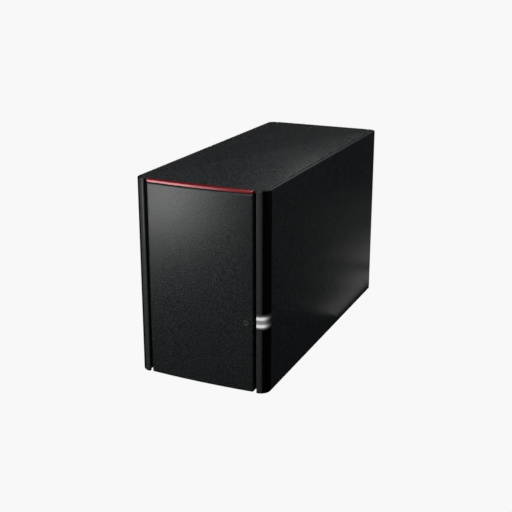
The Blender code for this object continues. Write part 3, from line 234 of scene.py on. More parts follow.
def mouldedAbs(name, colour, grain, rough, relief, speckle, specular=0.5):
    # ABS from a spark-eroded mould: a pitted grain, `grain` mm across, breaks the sheen into specks
    made, tree, shader, place = newMaterial(name, {
        "Roughness": rough, "IOR": 1.53, "Specular IOR Level": specular})
    low, high, spread = 0.3, 0.7, 0.06      # the noise lies mostly from low to high
    fine = addNode(tree, "ShaderNodeTexNoise", inputs={
        "Vector": place, "Scale": 1 / (grain * mm), "Detail": 3.0, "Roughness": 0.6})["Fac"]
    pits = addNode(tree, "ShaderNodeTexVoronoi", inputs={
        "Vector": place, "Scale": 0.8 / (grain * mm)})["Distance"]
    broad = addNode(tree, "ShaderNodeTexNoise", inputs={
        "Vector": place, "Scale": 14.0, "Detail": 2.0})["Fac"]
    specks = addNode(tree, "ShaderNodeValToRGB", inputs={"Fac": fine}, stops=[
        (low, scaleColour(colour, 1 - speckle)), (high, scaleColour(colour, 1 + speckle))])["Color"]
    clouds = addNode(tree, "ShaderNodeValToRGB", inputs={"Fac": broad}, stops=[
        (low, (0.94,) * 3), (high, (1.0,) * 3)])["Color"]
    tint = addNode(tree, "ShaderNodeMix", {"data_type": "RGBA", "blend_type": "MULTIPLY"}, {
        "Factor": 1.0, "A": specks, "B": clouds})["Result"]
    sheen = addNode(tree, "ShaderNodeMapRange", inputs={
        "Value": fine, "From Min": low, "From Max": high,
        "To Min": rough - spread, "To Max": rough + spread})["Result"]
    height = addNode(tree, "ShaderNodeMath", {"operation": "ADD"}, {0: fine, 1: pits})["Value"]
    bump = addNode(tree, "ShaderNodeBump", inputs={
        "Height": height, "Strength": relief, "Distance": 0.08 * mm})["Normal"]
    setInputs(tree, shader, {"Base Color": tint, "Roughness": sheen, "Normal": bump})
    return made


pillarEdge = {"line": -94.2 * mm, "turn": 40.1 * mm, "soft": 1.4 * mm}


def satinPillarsPaintedShade(made, face, corner, rough):
    # the front pillars are polished: no grain in front of the edge's line; the corner is darker with
    # painted shade, standing for the light falling off as the pillar turns away
    tree = made.node_tree
    shader = tree.nodes["Principled BSDF"]
    place = addNode(tree, "ShaderNodeTexCoord")["Object"]
    axes = addNode(tree, "ShaderNodeSeparateXYZ", inputs={"Vector": place})
    aside = addNode(tree, "ShaderNodeMath", {"operation": "ABSOLUTE"}, {0: axes["X"]})["Value"]
    half = pillarEdge["soft"] / 2
    behind, outward = (addNode(tree, "ShaderNodeMapRange", {"interpolation_type": "SMOOTHSTEP"}, {
        "Value": value, "From Min": middle - half, "From Max": middle + half})["Result"]
        for value, middle in ((axes["Y"], pillarEdge["line"]), (aside, pillarEdge["turn"])))
    # painted shade: the colour runs from the face's grey to near black across the pillar's rounded
    # corner
    faceToShadedCorner = addNode(tree, "ShaderNodeValToRGB", inputs={"Fac": outward}, stops=[
        (0.0, face), (1.0, corner)])["Color"]
    tint = addNode(tree, "ShaderNodeMix", {"data_type": "RGBA"}, {
        "Factor": behind, "A": faceToShadedCorner,
        "B": shader.inputs["Base Color"].links[0].from_socket})["Result"]
    sheen = addNode(tree, "ShaderNodeMix", inputs={
        "Factor": behind, "A": rough,
        "B": shader.inputs["Roughness"].links[0].from_socket})["Result"]
    bump = shader.inputs["Normal"].links[0].from_node
    strength = addNode(tree, "ShaderNodeMath", {"operation": "MULTIPLY"}, {
        0: behind, 1: bump.inputs["Strength"].default_value})["Value"]
    setInputs(tree, shader, {"Base Color": tint, "Roughness": sheen})
    setInputs(tree, bump, {"Strength": strength})
    return made


def metal(name, colour, rough, streak=None, relief=0.1, grain=0.6):
    # bare metal: a light broken sheen; streak is the axis that rolling marks run along
    made, tree, shader, place = newMaterial(name, {"Metallic": 1.0, "Roughness": rough})
    low, high = 0.25, 0.75
    stretch = [0.06 if axis == streak else 1 for axis in "xyz"]
    marks = addNode(tree, "ShaderNodeMapping", inputs={"Vector": place, "Scale": stretch})["Vector"]
    noise = addNode(tree, "ShaderNodeTexNoise", inputs={
        "Vector": marks, "Scale": 1 / (grain * mm), "Detail": 4.0})["Fac"]
    tint = addNode(tree, "ShaderNodeValToRGB", inputs={"Fac": noise}, stops=[
        (low, scaleColour(colour, 0.85)), (high, scaleColour(colour, 1.1))])["Color"]
    sheen = addNode(tree, "ShaderNodeMapRange", inputs={
        "Value": noise, "From Min": low, "From Max": high,
        "To Min": rough - 0.08, "To Max": rough + 0.1})["Result"]
    bump = addNode(tree, "ShaderNodeBump", inputs={
        "Height": noise, "Strength": relief, "Distance": 0.05 * mm})["Normal"]
    setInputs(tree, shader, {"Base Color": tint, "Roughness": sheen, "Normal": bump})
    return made


def circuitLaminate(name):
    # glass-epoxy board under green solder mask: brick-like copper runs show as a lighter green relief
    made, tree, shader, place = newMaterial(name, {"Roughness": 0.35, "IOR": 1.5})
    slanted = addNode(tree, "ShaderNodeMapping", inputs={
        "Vector": place, "Rotation": (0.6, 0.6, 0.785)})["Vector"]
    runs = addNode(tree, "ShaderNodeTexBrick", inputs={
        "Vector": slanted, "Scale": 1.0, "Brick Width": 9 * mm, "Row Height": 0.9 * mm,
        "Mortar Size": 0.16 * mm, "Mortar Smooth": 0.4, "Mortar": (*linear("#07301c"), 1),
        "Color1": (*linear("#0d4a2c"), 1), "Color2": (*linear("#10563a"), 1)})
    noise = addNode(tree, "ShaderNodeTexNoise", inputs={"Vector": place, "Scale": 160.0})["Fac"]
    shade = addNode(tree, "ShaderNodeValToRGB", inputs={"Fac": noise}, stops=[
        (0.35, (0.7,) * 3), (0.65, (1.0,) * 3)])["Color"]
    tint = addNode(tree, "ShaderNodeMix", {"data_type": "RGBA", "blend_type": "MULTIPLY"}, {
        "Factor": 1.0, "A": runs["Color"], "B": shade})["Result"]
    bump = addNode(tree, "ShaderNodeBump", inputs={
        "Height": runs["Fac"], "Strength": 0.3, "Distance": 0.05 * mm})["Normal"]
    setInputs(tree, shader, {"Base Color": tint, "Normal": bump})
    return made


def redLacquer(name):
    # ABS strip under metallic red lacquer: fine flakes in a clear coat give a deep silky shine
    made, tree, shader, place = newMaterial(name, {
        "Metallic": 0.25, "Roughness": 0.3, "Coat Weight": 0.5, "Coat Roughness": 0.15})
    flake, ripple = 0.35 * mm, 0.8 * mm
    flakes = addNode(tree, "ShaderNodeTexVoronoi", inputs={
        "Vector": place, "Scale": 1 / flake})["Distance"]
    tint = addNode(tree, "ShaderNodeValToRGB", inputs={"Fac": flakes}, stops=[
        (0.0, linear("#96222b")), (0.8, linear("#6c1218"))])["Color"]
    noise = addNode(tree, "ShaderNodeTexNoise", inputs={"Vector": place, "Scale": 1 / ripple})["Fac"]
    bump = addNode(tree, "ShaderNodeBump", inputs={
        "Height": noise, "Strength": 0.08, "Distance": 0.03 * mm})["Normal"]
    setInputs(tree, shader, {"Base Color": tint, "Normal": bump})
    return made


light = {"middle": 47.5 * mm, "bars": 2.3 * mm, "barHalf": 0.9 * mm, "soft": 1.3 * mm,
         "glow": 0.16, "peak": 0.58, "glowFrom": 2.4 * mm, "glowTo": 5.1 * mm,
         "fadeFrom": 40.6 * mm, "fadeTo": 43.9 * mm, "frost": 0.5 * mm}


def litWindow(name):
    # frosted polycarbonate over two white lamps: two soft bars in a grey glow that fades at the rim
    made, tree, shader, place = newMaterial(name, {
        "Roughness": 0.35, "IOR": 1.58, "Emission Strength": 1.0})
    axes = addNode(tree, "ShaderNodeSeparateXYZ", inputs={"Vector": place})
    distances = [axes["Z"]]
    for spot in (light["middle"], light["bars"]):
        less = addNode(tree, "ShaderNodeMath", {"operation": "SUBTRACT"}, {
            0: distances[-1], 1: spot})["Value"]
        distances.append(addNode(tree, "ShaderNodeMath", {"operation": "ABSOLUTE"}, {0: less})["Value"])
    fromMiddle, fromBar = distances[1:]
    falls = [(fromBar, light["barHalf"] - light["soft"] / 2, light["barHalf"] + light["soft"] / 2, 1.0),
             (fromMiddle, light["glowFrom"], light["glowTo"], light["glow"]),
             (axes["X"], light["fadeFrom"], light["fadeTo"], 1.0)]
    bar, glow, fade = (addNode(tree, "ShaderNodeMapRange", {"interpolation_type": "SMOOTHSTEP"}, {
        "Value": value, "From Min": start, "From Max": end, "To Min": level, "To Max": 0.0})["Result"]
        for value, start, end, level in falls)
    frost = addNode(tree, "ShaderNodeTexNoise", inputs={
        "Vector": place, "Scale": 1 / light["frost"]})["Fac"]
    grain = addNode(tree, "ShaderNodeMath", {"operation": "MULTIPLY_ADD"}, {
        0: frost, 1: 0.2, 2: 0.9})["Value"]
    level = addNode(tree, "ShaderNodeMath", {"operation": "MULTIPLY_ADD"}, {
        0: bar, 1: light["peak"] - light["glow"], 2: glow})["Value"]
    for share in (fade, grain):
        level = addNode(tree, "ShaderNodeMath", {"operation": "MULTIPLY"}, {0: level, 1: share})["Value"]
    glowing = addNode(tree, "ShaderNodeValToRGB", inputs={"Fac": level}, stops=[
        (0.0, (0.0, 0.0, 0.0)), (1.0, linear("#fbfbf9"))])["Color"]
    tint = addNode(tree, "ShaderNodeValToRGB", inputs={"Fac": level}, stops=[
        (0.0, linear("#0c0d0d")), (0.5, linear("#8d9294"))])["Color"]
    setInputs(tree, shader, {"Emission Color": glowing, "Base Color": tint})
    return made


def rubber(name):
    # moulded rubber: dull, slightly dusty black
    return mouldedAbs(name, linear("#151515"), 0.5, 0.8, 0.3, 0.3, 0.3)


def paper(name):
    # blank coated paper sticker, its fibres barely seen
    made, tree, shader, place = newMaterial(name, {"Roughness": 0.5})
    fibres = addNode(tree, "ShaderNodeTexNoise", inputs={
        "Vector": place, "Scale": 900.0, "Detail": 4.0})["Fac"]
    tint = addNode(tree, "ShaderNodeValToRGB", inputs={"Fac": fibres}, stops=[
        (0.3, linear("#c9cac7")), (0.7, linear("#d8d9d6"))])["Color"]
    setInputs(tree, shader, {"Base Color": tint})
    return made


# plastics: name, colour, grain in mm, roughness, relief, speckle and, where it isn't 0.5, specular
# level; metals: name, colour, roughness, axis of the rolling marks, relief and grain in mm
looks = {
    # 323333 is the pillars' face colour; #040404 is painted shade on the pillars' rounded corners
    "side": satinPillarsPaintedShade(
        mouldedAbs("side_cover_black_abs", linear("#393c3e"), 1.3, 0.34, 0.9, 0.8, 0.12),
        linear("#323333"), linear("#040404"), 0.26),
    "top": mouldedAbs("top_cover_black_abs", linear("#323536"), 1.25, 0.3, 0.8, 0.8, 0.2),
    "cover": mouldedAbs("front_cover_black_abs", linear("#212324"), 0.95, 0.34, 0.34, 0.66, 0.35),
    "inner": mouldedAbs("inner_frame_black_abs", linear("#131414"), 0.4, 0.5, 0.25, 0.15),
    "rear": mouldedAbs("rear_panel_black_abs", linear("#2a2c2d"), 0.6, 0.45, 0.4, 0.4, 0.35),
    "tray": mouldedAbs("tray_black_abs", linear("#1a1b1c"), 0.4, 0.45, 0.25, 0.15),
    "button": mouldedAbs("button_dark_grey_abs", linear("#26282a"), 0.3, 0.35, 0.15, 0.12),
    "socket": mouldedAbs("socket_black_nylon", linear("#0e0f0f"), 0.3, 0.35, 0.12, 0.12),
    "rubber": rubber("foot_black_rubber"),
    "accent": redLacquer("strip_red_lacquer"),
    "window": litWindow("status_window_frosted_polycarbonate"),
    "zinc": metal("cage_zinc_plated_steel", linear("#b4b8ba"), 0.34, "y"),
    "lid": metal("drive_lid_pressed_steel", linear("#c3c6c8"), 0.28, "z"),
    "cast": metal("drive_body_cast_aluminium", linear("#9a9da0"), 0.45, None, 0.3, 0.9),
    "sink": metal("heatsink_extruded_aluminium", linear("#a9adb0"), 0.35, "y"),
    "tin": metal("socket_tin_plated_steel", linear("#bfc1c2"), 0.3, "y", 0.06),
    "screw": metal("screw_black_oxide_steel", linear("#3a3b3d"), 0.4, None, 0.1, 0.5),
    "gold": metal("contact_gold_plate", linear("#d8a94c"), 0.25, None, 0.05, 0.4),
    "board": circuitLaminate("circuit_board_green_laminate"),
    "chip": mouldedAbs("chip_black_epoxy", linear("#161718"), 0.35, 0.5, 0.2, 0.15),
    "blue": mouldedAbs("usb_tongue_blue_nylon", linear("#1d4fa0"), 0.3, 0.4, 0.12, 0.1),
    "paper": paper("sticker_coated_paper"),
    "mark": mouldedAbs("standby_mark_grey_ink", linear("#54585a"), 0.3, 0.5, 0.1, 0.15),
}
print("materials made:", len(looks))


# ---- case

case = {"wall": 2.2 * mm, "pillar": 6.8 * mm, "frontRadius": 6.3 * mm, "rearRadius": 5.0 * mm,
        "lip": 1.5 * mm, "edge": 0.8 * mm, "innerEdge": 0.25 * mm, "recess": 0.7 * mm, "gap": 0.3 * mm,
        "windowHalf": 5.15 * mm, "windowEnd": 0.75 * mm, "windowStep": 0.04 * mm,
        "sideStart": 3 * mm}
leastRadius = 0.02 * mm      # what is left of a rounded edge where it is drawn in
caseLow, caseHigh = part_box("right_side_cover")
halfWidth, frontY = caseHigh[0], caseLow[1]
rearY, topZ, bottomZ = caseHigh[1], caseHigh[2], caseLow[2]
cornerY = frontY + case["frontRadius"]


def coverPath():
    # right side cover in plan from pillar end to rear end: x, y and outward normal of each station,
    # with the inset that rounds both ends along a quarter circle
    r, rearR, e = case["frontRadius"], case["rearRadius"], 0.7 * case["edge"]
    quarter = np.radians(np.linspace(90, 0, 6))
    startX, endX = halfWidth - case["pillar"], halfWidth - rearR - case["lip"]
    front = [(startX + e * (1 - math.sin(t)), frontY, 0, -1, e * (1 - math.cos(t))) for t in quarter]
    frontArc = [(halfWidth - r + r * math.cos(t), cornerY + r * math.sin(t), math.cos(t), math.sin(t), 0)
                for t in np.radians(np.linspace(-90, 0, 29)[1:])]
    stop = cornerY + case["windowEnd"]
    rest = np.linspace(cornerY + case["sideStart"], rearY - rearR, 24)
    straight = [(halfWidth, y, 1, 0, 0) for y in (stop, stop + case["windowStep"], *rest)]
    rearArc = [(halfWidth - rearR + rearR * math.cos(t), rearY - rearR + rearR * math.sin(t),
                math.cos(t), math.sin(t), 0) for t in np.radians(np.linspace(0, 90, 19)[1:])]
    rear = [(endX + e * (1 - math.sin(t)), rearY, 0, 1, e * (1 - math.cos(t))) for t in quarter[::-1]]
    return np.array(front + frontArc + straight + rearArc + rear)


def coverSection(inset, recess):
    # closed section of the wall: distance out from the path and height, edges as quarter circles
    outer, inner = -inset, -case["wall"] + inset
    low, high = bottomZ + inset, topZ - inset
    r, q = max(case["edge"] - inset, leastRadius), max(case["innerEdge"] - inset * 0.5, leastRadius)
    t = np.linspace(0, math.pi / 2, 6)
    foot = [(outer - r * (1 - math.sin(a)), low + r * (1 - math.cos(a))) for a in t]
    head = [(outer - r * (1 - math.cos(a)), high - r * (1 - math.sin(a))) for a in t]
    half, middle, slope = case["windowHalf"], light["middle"], case["windowStep"]
    face = [(outer, middle - half - slope), (outer - recess, middle - half), (outer - recess, middle),
            (outer - recess, middle + half), (outer, middle + half + slope)]
    backTop = [(inner + q * (1 - math.sin(a)), high - q * (1 - math.cos(a))) for a in t]
    backLow = [(inner + q * (1 - math.cos(a)), low + q * (1 - math.sin(a))) for a in t]
    return np.array(foot + face + head + backTop + backLow)


def sideCover(name, sign, node):
    path = coverPath()
    lastInWindow = cornerY + case["windowEnd"] + 0.01 * mm
    rings = []
    for x, y, nx, ny, inset in path:
        recessed = sign > 0 and y < lastInWindow
        section = coverSection(inset, case["recess"] if recessed else 0.0)
        ring = np.column_stack([sign * (x + nx * section[:, 0]), y + ny * section[:, 0], section[:, 1]])
        rings.append(ring)
    return loft(name, rings, looks["side"], "chassis", [node], 38)


sideCover("rightSideCover", 1, "right_side_cover")
sideCover("leftSideCover", -1, "left_side_cover")


pillarWall = {"aside": 0.2 * mm, "thick": 2 * mm, "front": 1.1 * mm, "rear": 1 * mm,
              "foot": 1 * mm, "head": 2.5 * mm, "edge": 0.15 * mm}


def pillarReturn(name, sign):
    # the inner wall of a pillar, seen through the vent gap
    inner = halfWidth - case["pillar"] + pillarWall["aside"]
    low = (inner, frontY + pillarWall["front"], bottomZ + pillarWall["foot"])
    high = (inner + pillarWall["thick"], cornerY + pillarWall["rear"], topZ - pillarWall["head"])
    box = roundedBox(low, high, pillarWall["edge"])
    box[..., 0] *= sign
    return loft(name, box, looks["side"], "chassis")


pillarReturn("rightPillarReturn", 1)
pillarReturn("leftPillarReturn", -1)

kick = {"aside": 0.3 * mm, "front": 5.2 * mm, "rear": 9.5 * mm, "foot": 0.2 * mm, "head": 2.9 * mm,
        "edge": 0.25 * mm}


def kickLip():
    # the low lip under the front frame that closes the foot of both vent gaps
    x = halfWidth - case["pillar"] - kick["aside"]
    box = roundedBox((-x, frontY + kick["front"], bottomZ + kick["foot"]),
                     (x, frontY + kick["rear"], bottomZ + kick["head"]), kick["edge"])
    return loft("kickLip", box, looks["inner"], "chassis")


kickLip()

window = {"edge": 0.15 * mm, "gap": 0.12 * mm, "floorGap": 0.05 * mm, "sunk": 0.03 * mm,
          "start": 0.25 * mm, "end": 0.15 * mm}


def statusWindow():
    # the band let into the right pillar: the pillar's own path, thin, with softly rounded edges
    e, half, r = window["edge"], case["windowHalf"] - window["gap"], case["frontRadius"]
    face, back = -window["sunk"], window["floorGap"] - case["recess"]
    top, bottom = light["middle"] + half, light["middle"] - half
    a = np.radians(np.linspace(-90, 0, 40))
    startX = halfWidth - case["pillar"] + window["start"]
    x = np.concatenate([np.linspace(startX, halfWidth - r, 6)[:-1],
                        halfWidth - r + r * np.cos(a), [halfWidth]])
    y = np.concatenate([np.full(5, frontY), cornerY + r * np.sin(a),
                        [cornerY + case["windowEnd"] - window["end"]]])
    normal = outlineNormals(np.column_stack([x, y]), closed=False)
    t = np.linspace(0, math.pi / 2, 4)
    head = [(face - e * (1 - math.cos(b)), top - e * (1 - math.sin(b))) for b in t]
    foot = [(face - e * (1 - math.sin(b)), bottom + e * (1 - math.cos(b))) for b in t]
    across = [(face, z) for z in np.linspace(bottom + e, top - e, 12)[1:-1]]
    section = np.array(foot + across + head + [(back, top), (back, bottom)])
    rings = [np.column_stack([px + nx * section[:, 0], py + ny * section[:, 0], section[:, 1]])
             for px, py, (nx, ny) in zip(x, y, normal)]
    return loft("statusWindow", rings, looks["window"], "chassis", ["status_window"], 50)


statusWindow()


def plate(name, outline, low, high, look, body, replaced=(), edge=0.35 * mm, steps=4):
    # a flat plate of an anticlockwise outline, its rims rounded along quarter circles
    normal = outlineNormals(outline)
    t = np.linspace(0, math.pi / 2, steps + 1)
    levels = [(edge * (1 - math.sin(a)), low + edge * (1 - math.cos(a))) for a in t]
    levels += [(edge * (1 - math.sin(a)), high - edge * (1 - math.cos(a))) for a in t[::-1]]
    rings = [np.column_stack([outline - normal * inset, np.full(len(outline), z)])
             for inset, z in levels]
    return loft(name, rings, look, body, replaced)


def topCover():
    # half of the outline, then its mirror image: front arc, rear arc and the step behind it
    r, rearR = (case[key] - case["wall"] - case["gap"] for key in ("frontRadius", "rearRadius"))
    front = arcPoints((halfWidth - case["frontRadius"], cornerY), r, -90, 0, 12)
    rear = arcPoints((halfWidth - case["rearRadius"], rearY - case["rearRadius"]), rearR, 0, 90, 10)
    lipX = halfWidth - case["rearRadius"] - case["lip"] - case["gap"]
    step = np.array([(lipX + 0.5 * mm, rear[-1][1]), (lipX, rear[-1][1] + 0.5 * mm),
                     (lipX, rearY - 0.6 * mm), (lipX - 0.4 * mm, rearY - 0.1 * mm)])
    half = np.concatenate([front, rear, step])
    outline = np.concatenate([half, half[::-1] * [-1, 1]])
    return plate("topCover", outline, topZ - case["wall"], topZ, looks["top"], "chassis",
                 ["top_cover"])


topCover()

lugs = {"inner": 30.5 * mm, "outer": 36.3 * mm, "front": 92 * mm, "rear": 99 * mm, "foot": 10.5 * mm,
        "head": 1.5 * mm, "edge": 0.3 * mm}


def topLugs():
    # the two screw lugs under the top cover
    rings = []
    for sign in (-1, 1):
        lowX, highX = sorted((sign * lugs["inner"], sign * lugs["outer"]))
        rings.append(roundedBox((lowX, lugs["front"], topZ - lugs["foot"]),
                                (highX, lugs["rear"], topZ - lugs["head"]), lugs["edge"]))
    return lofts("topCoverLugs", rings, looks["inner"], "chassis")


topLugs()
print("case made")


# ---- front cover, strip and mark

front = {"crown": 1.2 * mm, "edge": 0.9 * mm, "wall": 2.2 * mm, "step": 0.02 * mm, "trayGap": 0.5 * mm,
         "even": 6 * mm, "stripEdge": 0.85 * mm, "stripBack": 0.2 * mm, "stripEnd": 0.5 * mm,
         "stripStart": 1.5 * mm}
coverLow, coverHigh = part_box("front_cover")
coverX = coverHigh[0]
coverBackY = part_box("left_tray")[0][1] - front["trayGap"]


def crownY(x):
    # the front stands forward by crown (1 - (x / half width) squared)
    return frontY - front["crown"] * (1 - (x / coverX) ** 2)


def frontCover():
    e, w = front["edge"], front["wall"]
    low, high = coverLow[2], coverHigh[2]

    def ring(z, inset, pocket):
        half, r = coverX - inset, max(e - inset, leastRadius)
        x = np.linspace(half - r, -(half - r), 41)
        crown = np.column_stack([x, crownY(x) + inset])
        t = np.linspace(0, math.pi / 2, 7)[:-1]
        side = crown[0][1] + r
        right = np.column_stack([half - r + r * np.cos(t), side - r * np.sin(t)])
        left = (right * [-1, 1])[::-1]
        back = coverBackY
        inner = np.array([(-coverX + w, back), (-coverX + w, pocket),
                          (coverX - w, pocket), (coverX - w, back)])
        loop = np.concatenate([[(half, back)], right, crown, left, [(-half, back)], inner])
        return np.column_stack([loop, np.full(len(loop), z)])

    t = np.linspace(0, math.pi / 2, 6)
    step, shallow, deep = front["step"], coverBackY - front["step"], frontY + w
    rings = [ring(low + e * (1 - math.cos(a)), e * (1 - math.sin(a)), shallow) for a in t]
    rings += [ring(low + w, 0, shallow), ring(low + w + step, 0, deep)]
    rings += [ring(z, 0, deep) for z in np.linspace(low + front["even"], high - front["even"], 12)]
    rings += [ring(high - w - step, 0, deep), ring(high - w, 0, shallow)]
    rings += [ring(high - e * (1 - math.cos(a)), e * (1 - math.sin(a)), shallow) for a in t[::-1]]
    return loft("frontCover", rings, looks["cover"], "front_cover", ["front_cover"], 40)


frontCover()


hooks = {"across": (-20 * mm, 20 * mm), "heights": (8 * mm, 122.9 * mm), "half": 3 * mm,
         "thin": 0.6 * mm, "root": 1.5 * mm, "edge": 0.25 * mm}


def coverHooks():
    # four tongues that clip the front cover into the front frame
    rings = [roundedBox((x - hooks["half"], frontY + hooks["root"], z - hooks["thin"]),
                        (x + hooks["half"], coverHigh[1], z + hooks["thin"]), hooks["edge"])
             for x in hooks["across"] for z in hooks["heights"]]
    return lofts("coverHooks", rings, looks["inner"], "front_cover")


coverHooks()


def accentStrip():
    # a rounded bar carried across the crown: section in depth and height, ends drawn in
    low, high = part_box("accent_strip")
    back, e, small = high[1], front["stripEdge"], front["stripBack"]

    def ring(x, inset):
        face, bottom, top = crownY(x) + inset, low[2] + inset, high[2] - inset
        r, q = max(e - inset, leastRadius), max(small - inset / 2, leastRadius)
        t = np.linspace(0, math.pi / 2, 8)
        head = [(face + r * (1 - math.cos(a)), top - r * (1 - math.sin(a))) for a in t]
        tail = [(back - inset - q * (1 - math.sin(a)), top - q * (1 - math.cos(a))) for a in t]
        base = [(back - inset - q * (1 - math.cos(a)), bottom + q * (1 - math.sin(a))) for a in t]
        chin = [(face + q * (1 - math.sin(a)), bottom + q * (1 - math.cos(a))) for a in t]
        section = np.array(head + tail + base + chin)
        return np.column_stack([np.full(len(section), x), section])

    t = np.linspace(0, math.pi / 2, 6)
    end, start = front["stripEnd"], front["stripStart"]
    left = [(-coverX + end * (1 - math.cos(a)), end * (1 - math.sin(a))) for a in t]
    middle = [(x, 0) for x in np.linspace(-coverX + start, coverX - start, 49)]
    right = [(-x, inset) for x, inset in left[::-1]]
    rings = [ring(x, inset) for x, inset in left + middle + right]
    return loft("accentStrip", rings, looks["accent"], "front_cover", ["accent_strip"], 50)


accentStrip()


mark = {"x": 30.3 * mm, "z": 46.3 * mm, "radius": 1.35 * mm, "half": 0.17 * mm, "thick": 0.05 * mm,
        "proud": 0.03 * mm, "open": 38, "bar": (0.35 * mm, 1.1 * mm, 1.95 * mm)}


def standbyMark():
    # a generic standby sign: an open ring and an upright bar, printed on the crown
    corners = ((-1, 0), (1, 0), (1, 1), (-1, 1))
    x0, z0, half, radius = mark["x"], mark["z"], mark["half"], mark["radius"]
    arc = [[(x0 + (radius + s * half) * math.cos(a), z0 + (radius + s * half) * math.sin(a), d)
            for s, d in corners]
           for a in np.radians(np.linspace(90 + mark["open"], 450 - mark["open"], 40))]
    bar = [[(x0 + s * half, z0 + h, d) for s, d in corners] for h in mark["bar"]]
    rings = []
    for strip in (np.array(arc), np.array(bar)):
        x, z, out = strip[..., 0], strip[..., 1], strip[..., 2]
        rings.append(np.stack([x, crownY(x) + mark["proud"] - out * mark["thick"], z], -1))
    return lofts("standbyMark", rings, looks["mark"], "front_cover")


standbyMark()
print("front made")


# ---- rear: screws, buttons, sockets, fan

screw = {"radius": 2.8 * mm, "head": 1.4 * mm, "shank": 1.4 * mm, "tip": 1.2 * mm, "chamfer": 0.4 * mm,
         "rim": 0.1 * mm, "crossDepth": 0.75 * mm, "crossHalf": 0.50 * mm, "crossSlope": 0.14 * mm,
         "divide": 60 * mm}      # from here up a drive's screw faces up, below it faces down


def crossScrew(name, centre, outward, shank, node, body):
    # domed head turned about its axis, pressed in along a cross: depth falls off with the
    # distance from each arm of the cross and with the radius
    side, other = crossAxes(outward)
    radius, head = screw["radius"], screw["head"]
    a = np.linspace(0, 2 * math.pi, 64, endpoint=False)
    stem = ((-shank, screw["tip"]), (screw["chamfer"] - shank, screw["shank"]), (0, screw["shank"]),
            (0, radius - screw["rim"]), (screw["rim"], radius))
    rings = [centre + outward * along + r * (np.cos(a)[:, None] * side + np.sin(a)[:, None] * other)
             for along, r in stem]
    for share in np.concatenate([[1.0, 0.97, 0.9], np.linspace(0.8, 0.03, 22)]):
        r = radius * share
        u, v = r * np.cos(a), r * np.sin(a)
        arm = np.minimum(np.abs(u), np.abs(v))
        wide = np.clip((screw["crossHalf"] - arm) / screw["crossSlope"], 0, 1)
        reach = np.clip((0.62 * radius - r) / (0.12 * radius), 0, 1)
        dome = head * (0.62 + 0.38 * np.sqrt(max(0.0, 1 - share ** 2)))
        along = dome - screw["crossDepth"] * wide * reach * (1 - 0.35 * share)
        rings.append(centre + along[:, None] * outward + u[:, None] * side + v[:, None] * other)
    return loft(name, rings, looks["screw"], body, [node], 40)


def screws():
    # each screw's head is outside its node's far end: behind, above or below
    for node, body in sorted(bodyOf.items()):
        if "screw" not in node:
            continue
        low, high = (np.array(corner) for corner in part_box(node))
        seat = (low + high) / 2
        if node.startswith(("fan", "rear")):
            outward, axis, end = np.array([0.0, 1.0, 0.0]), 1, high
        elif node.startswith("cage") or seat[2] > screw["divide"]:
            outward, axis, end = np.array([0.0, 0.0, 1.0]), 2, high
        else:
            outward, axis, end = np.array([0.0, 0.0, -1.0]), 2, low
        seat[axis] = end[axis] - outward[axis] * screw["head"]
        shank = float(high[axis] - low[axis]) - screw["head"]
        crossScrew(node + "_turned", seat, outward, shank, node, body)


screws()


foot = {"chamfer": 0.2 * mm, "round": 0.5 * mm, "rim": 1.4 * mm, "dish": 1.8 * mm,
        "dishDepth": (0.25 * mm, 0.3 * mm)}
centreRadius = 0.05 * mm      # the small flat that closes a turned shape on its axis


def feet():
    # turned rubber feet with a rounded rim and a shallow dish underneath
    for number in range(1, 5):
        node = f"foot_{number}"
        low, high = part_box(node)
        centre = ((low[0] + high[0]) / 2, (low[1] + high[1]) / 2, 0)
        r, top, e = (high[0] - low[0]) / 2, high[2], foot["round"]
        t = np.linspace(0, math.pi / 2, 6)
        profile = [(centreRadius, top), (r - foot["chamfer"], top), (r, top - foot["chamfer"])]
        profile += [(r - e * (1 - math.cos(a)), e * (1 - math.sin(a))) for a in t]
        profile += [(r - foot["rim"], 0), (r - foot["dish"], foot["dishDepth"][0]),
                    (centreRadius, foot["dishDepth"][1])]
        rings = turned(profile, centre, (0, 0, 1))
        loft(node + "_turned", rings, looks["rubber"], "chassis", [node])


feet()

button = {"stem": 1.2 * mm, "stemLength": 1.2 * mm, "flange": 0.8 * mm, "flangeLength": 1.6 * mm,
          "round": 0.45 * mm, "dish": 0.35 * mm}


def buttons():
    # turned caps with a rounded rim and a shallow finger dish
    for node in ("power_button", "function_button"):
        low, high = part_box(node)
        centre = ((low[0] + high[0]) / 2, 0, (low[2] + high[2]) / 2)
        r, tip, back = (high[0] - low[0]) / 2 - button["flange"], high[1], low[1]
        rim, e = r + button["flange"], button["round"]
        start = back + button["stemLength"]
        end = start + button["flangeLength"]
        t = np.linspace(0, math.pi / 2, 6)
        profile = [(centreRadius, back), (button["stem"], back), (button["stem"], start), (rim, start),
                   (rim, end), (r, end)]
        profile += [(r - e * (1 - math.cos(a)), tip - e * (1 - math.sin(a))) for a in t]
        profile += [((r - e) * s, tip - button["dish"] * (1 - s * s))
                    for s in np.linspace(0.95, 0.02, 10)]
        rings = turned(profile, centre, (0, 1, 0))
        loft(node + "_turned", rings, looks["button"], bodyOf[node], [node])


buttons()


contact = {"pitch": 1.02 * mm, "radius": 0.2 * mm, "sides": 8, "stations": 24,
           "deep": (-11.5 * mm, -9.5 * mm, -7.0 * mm, -4.5 * mm, -3.0 * mm),
           "heights": (10.2 * mm, 9.9 * mm, 8.4 * mm, 7.0 * mm, 8.0 * mm)}


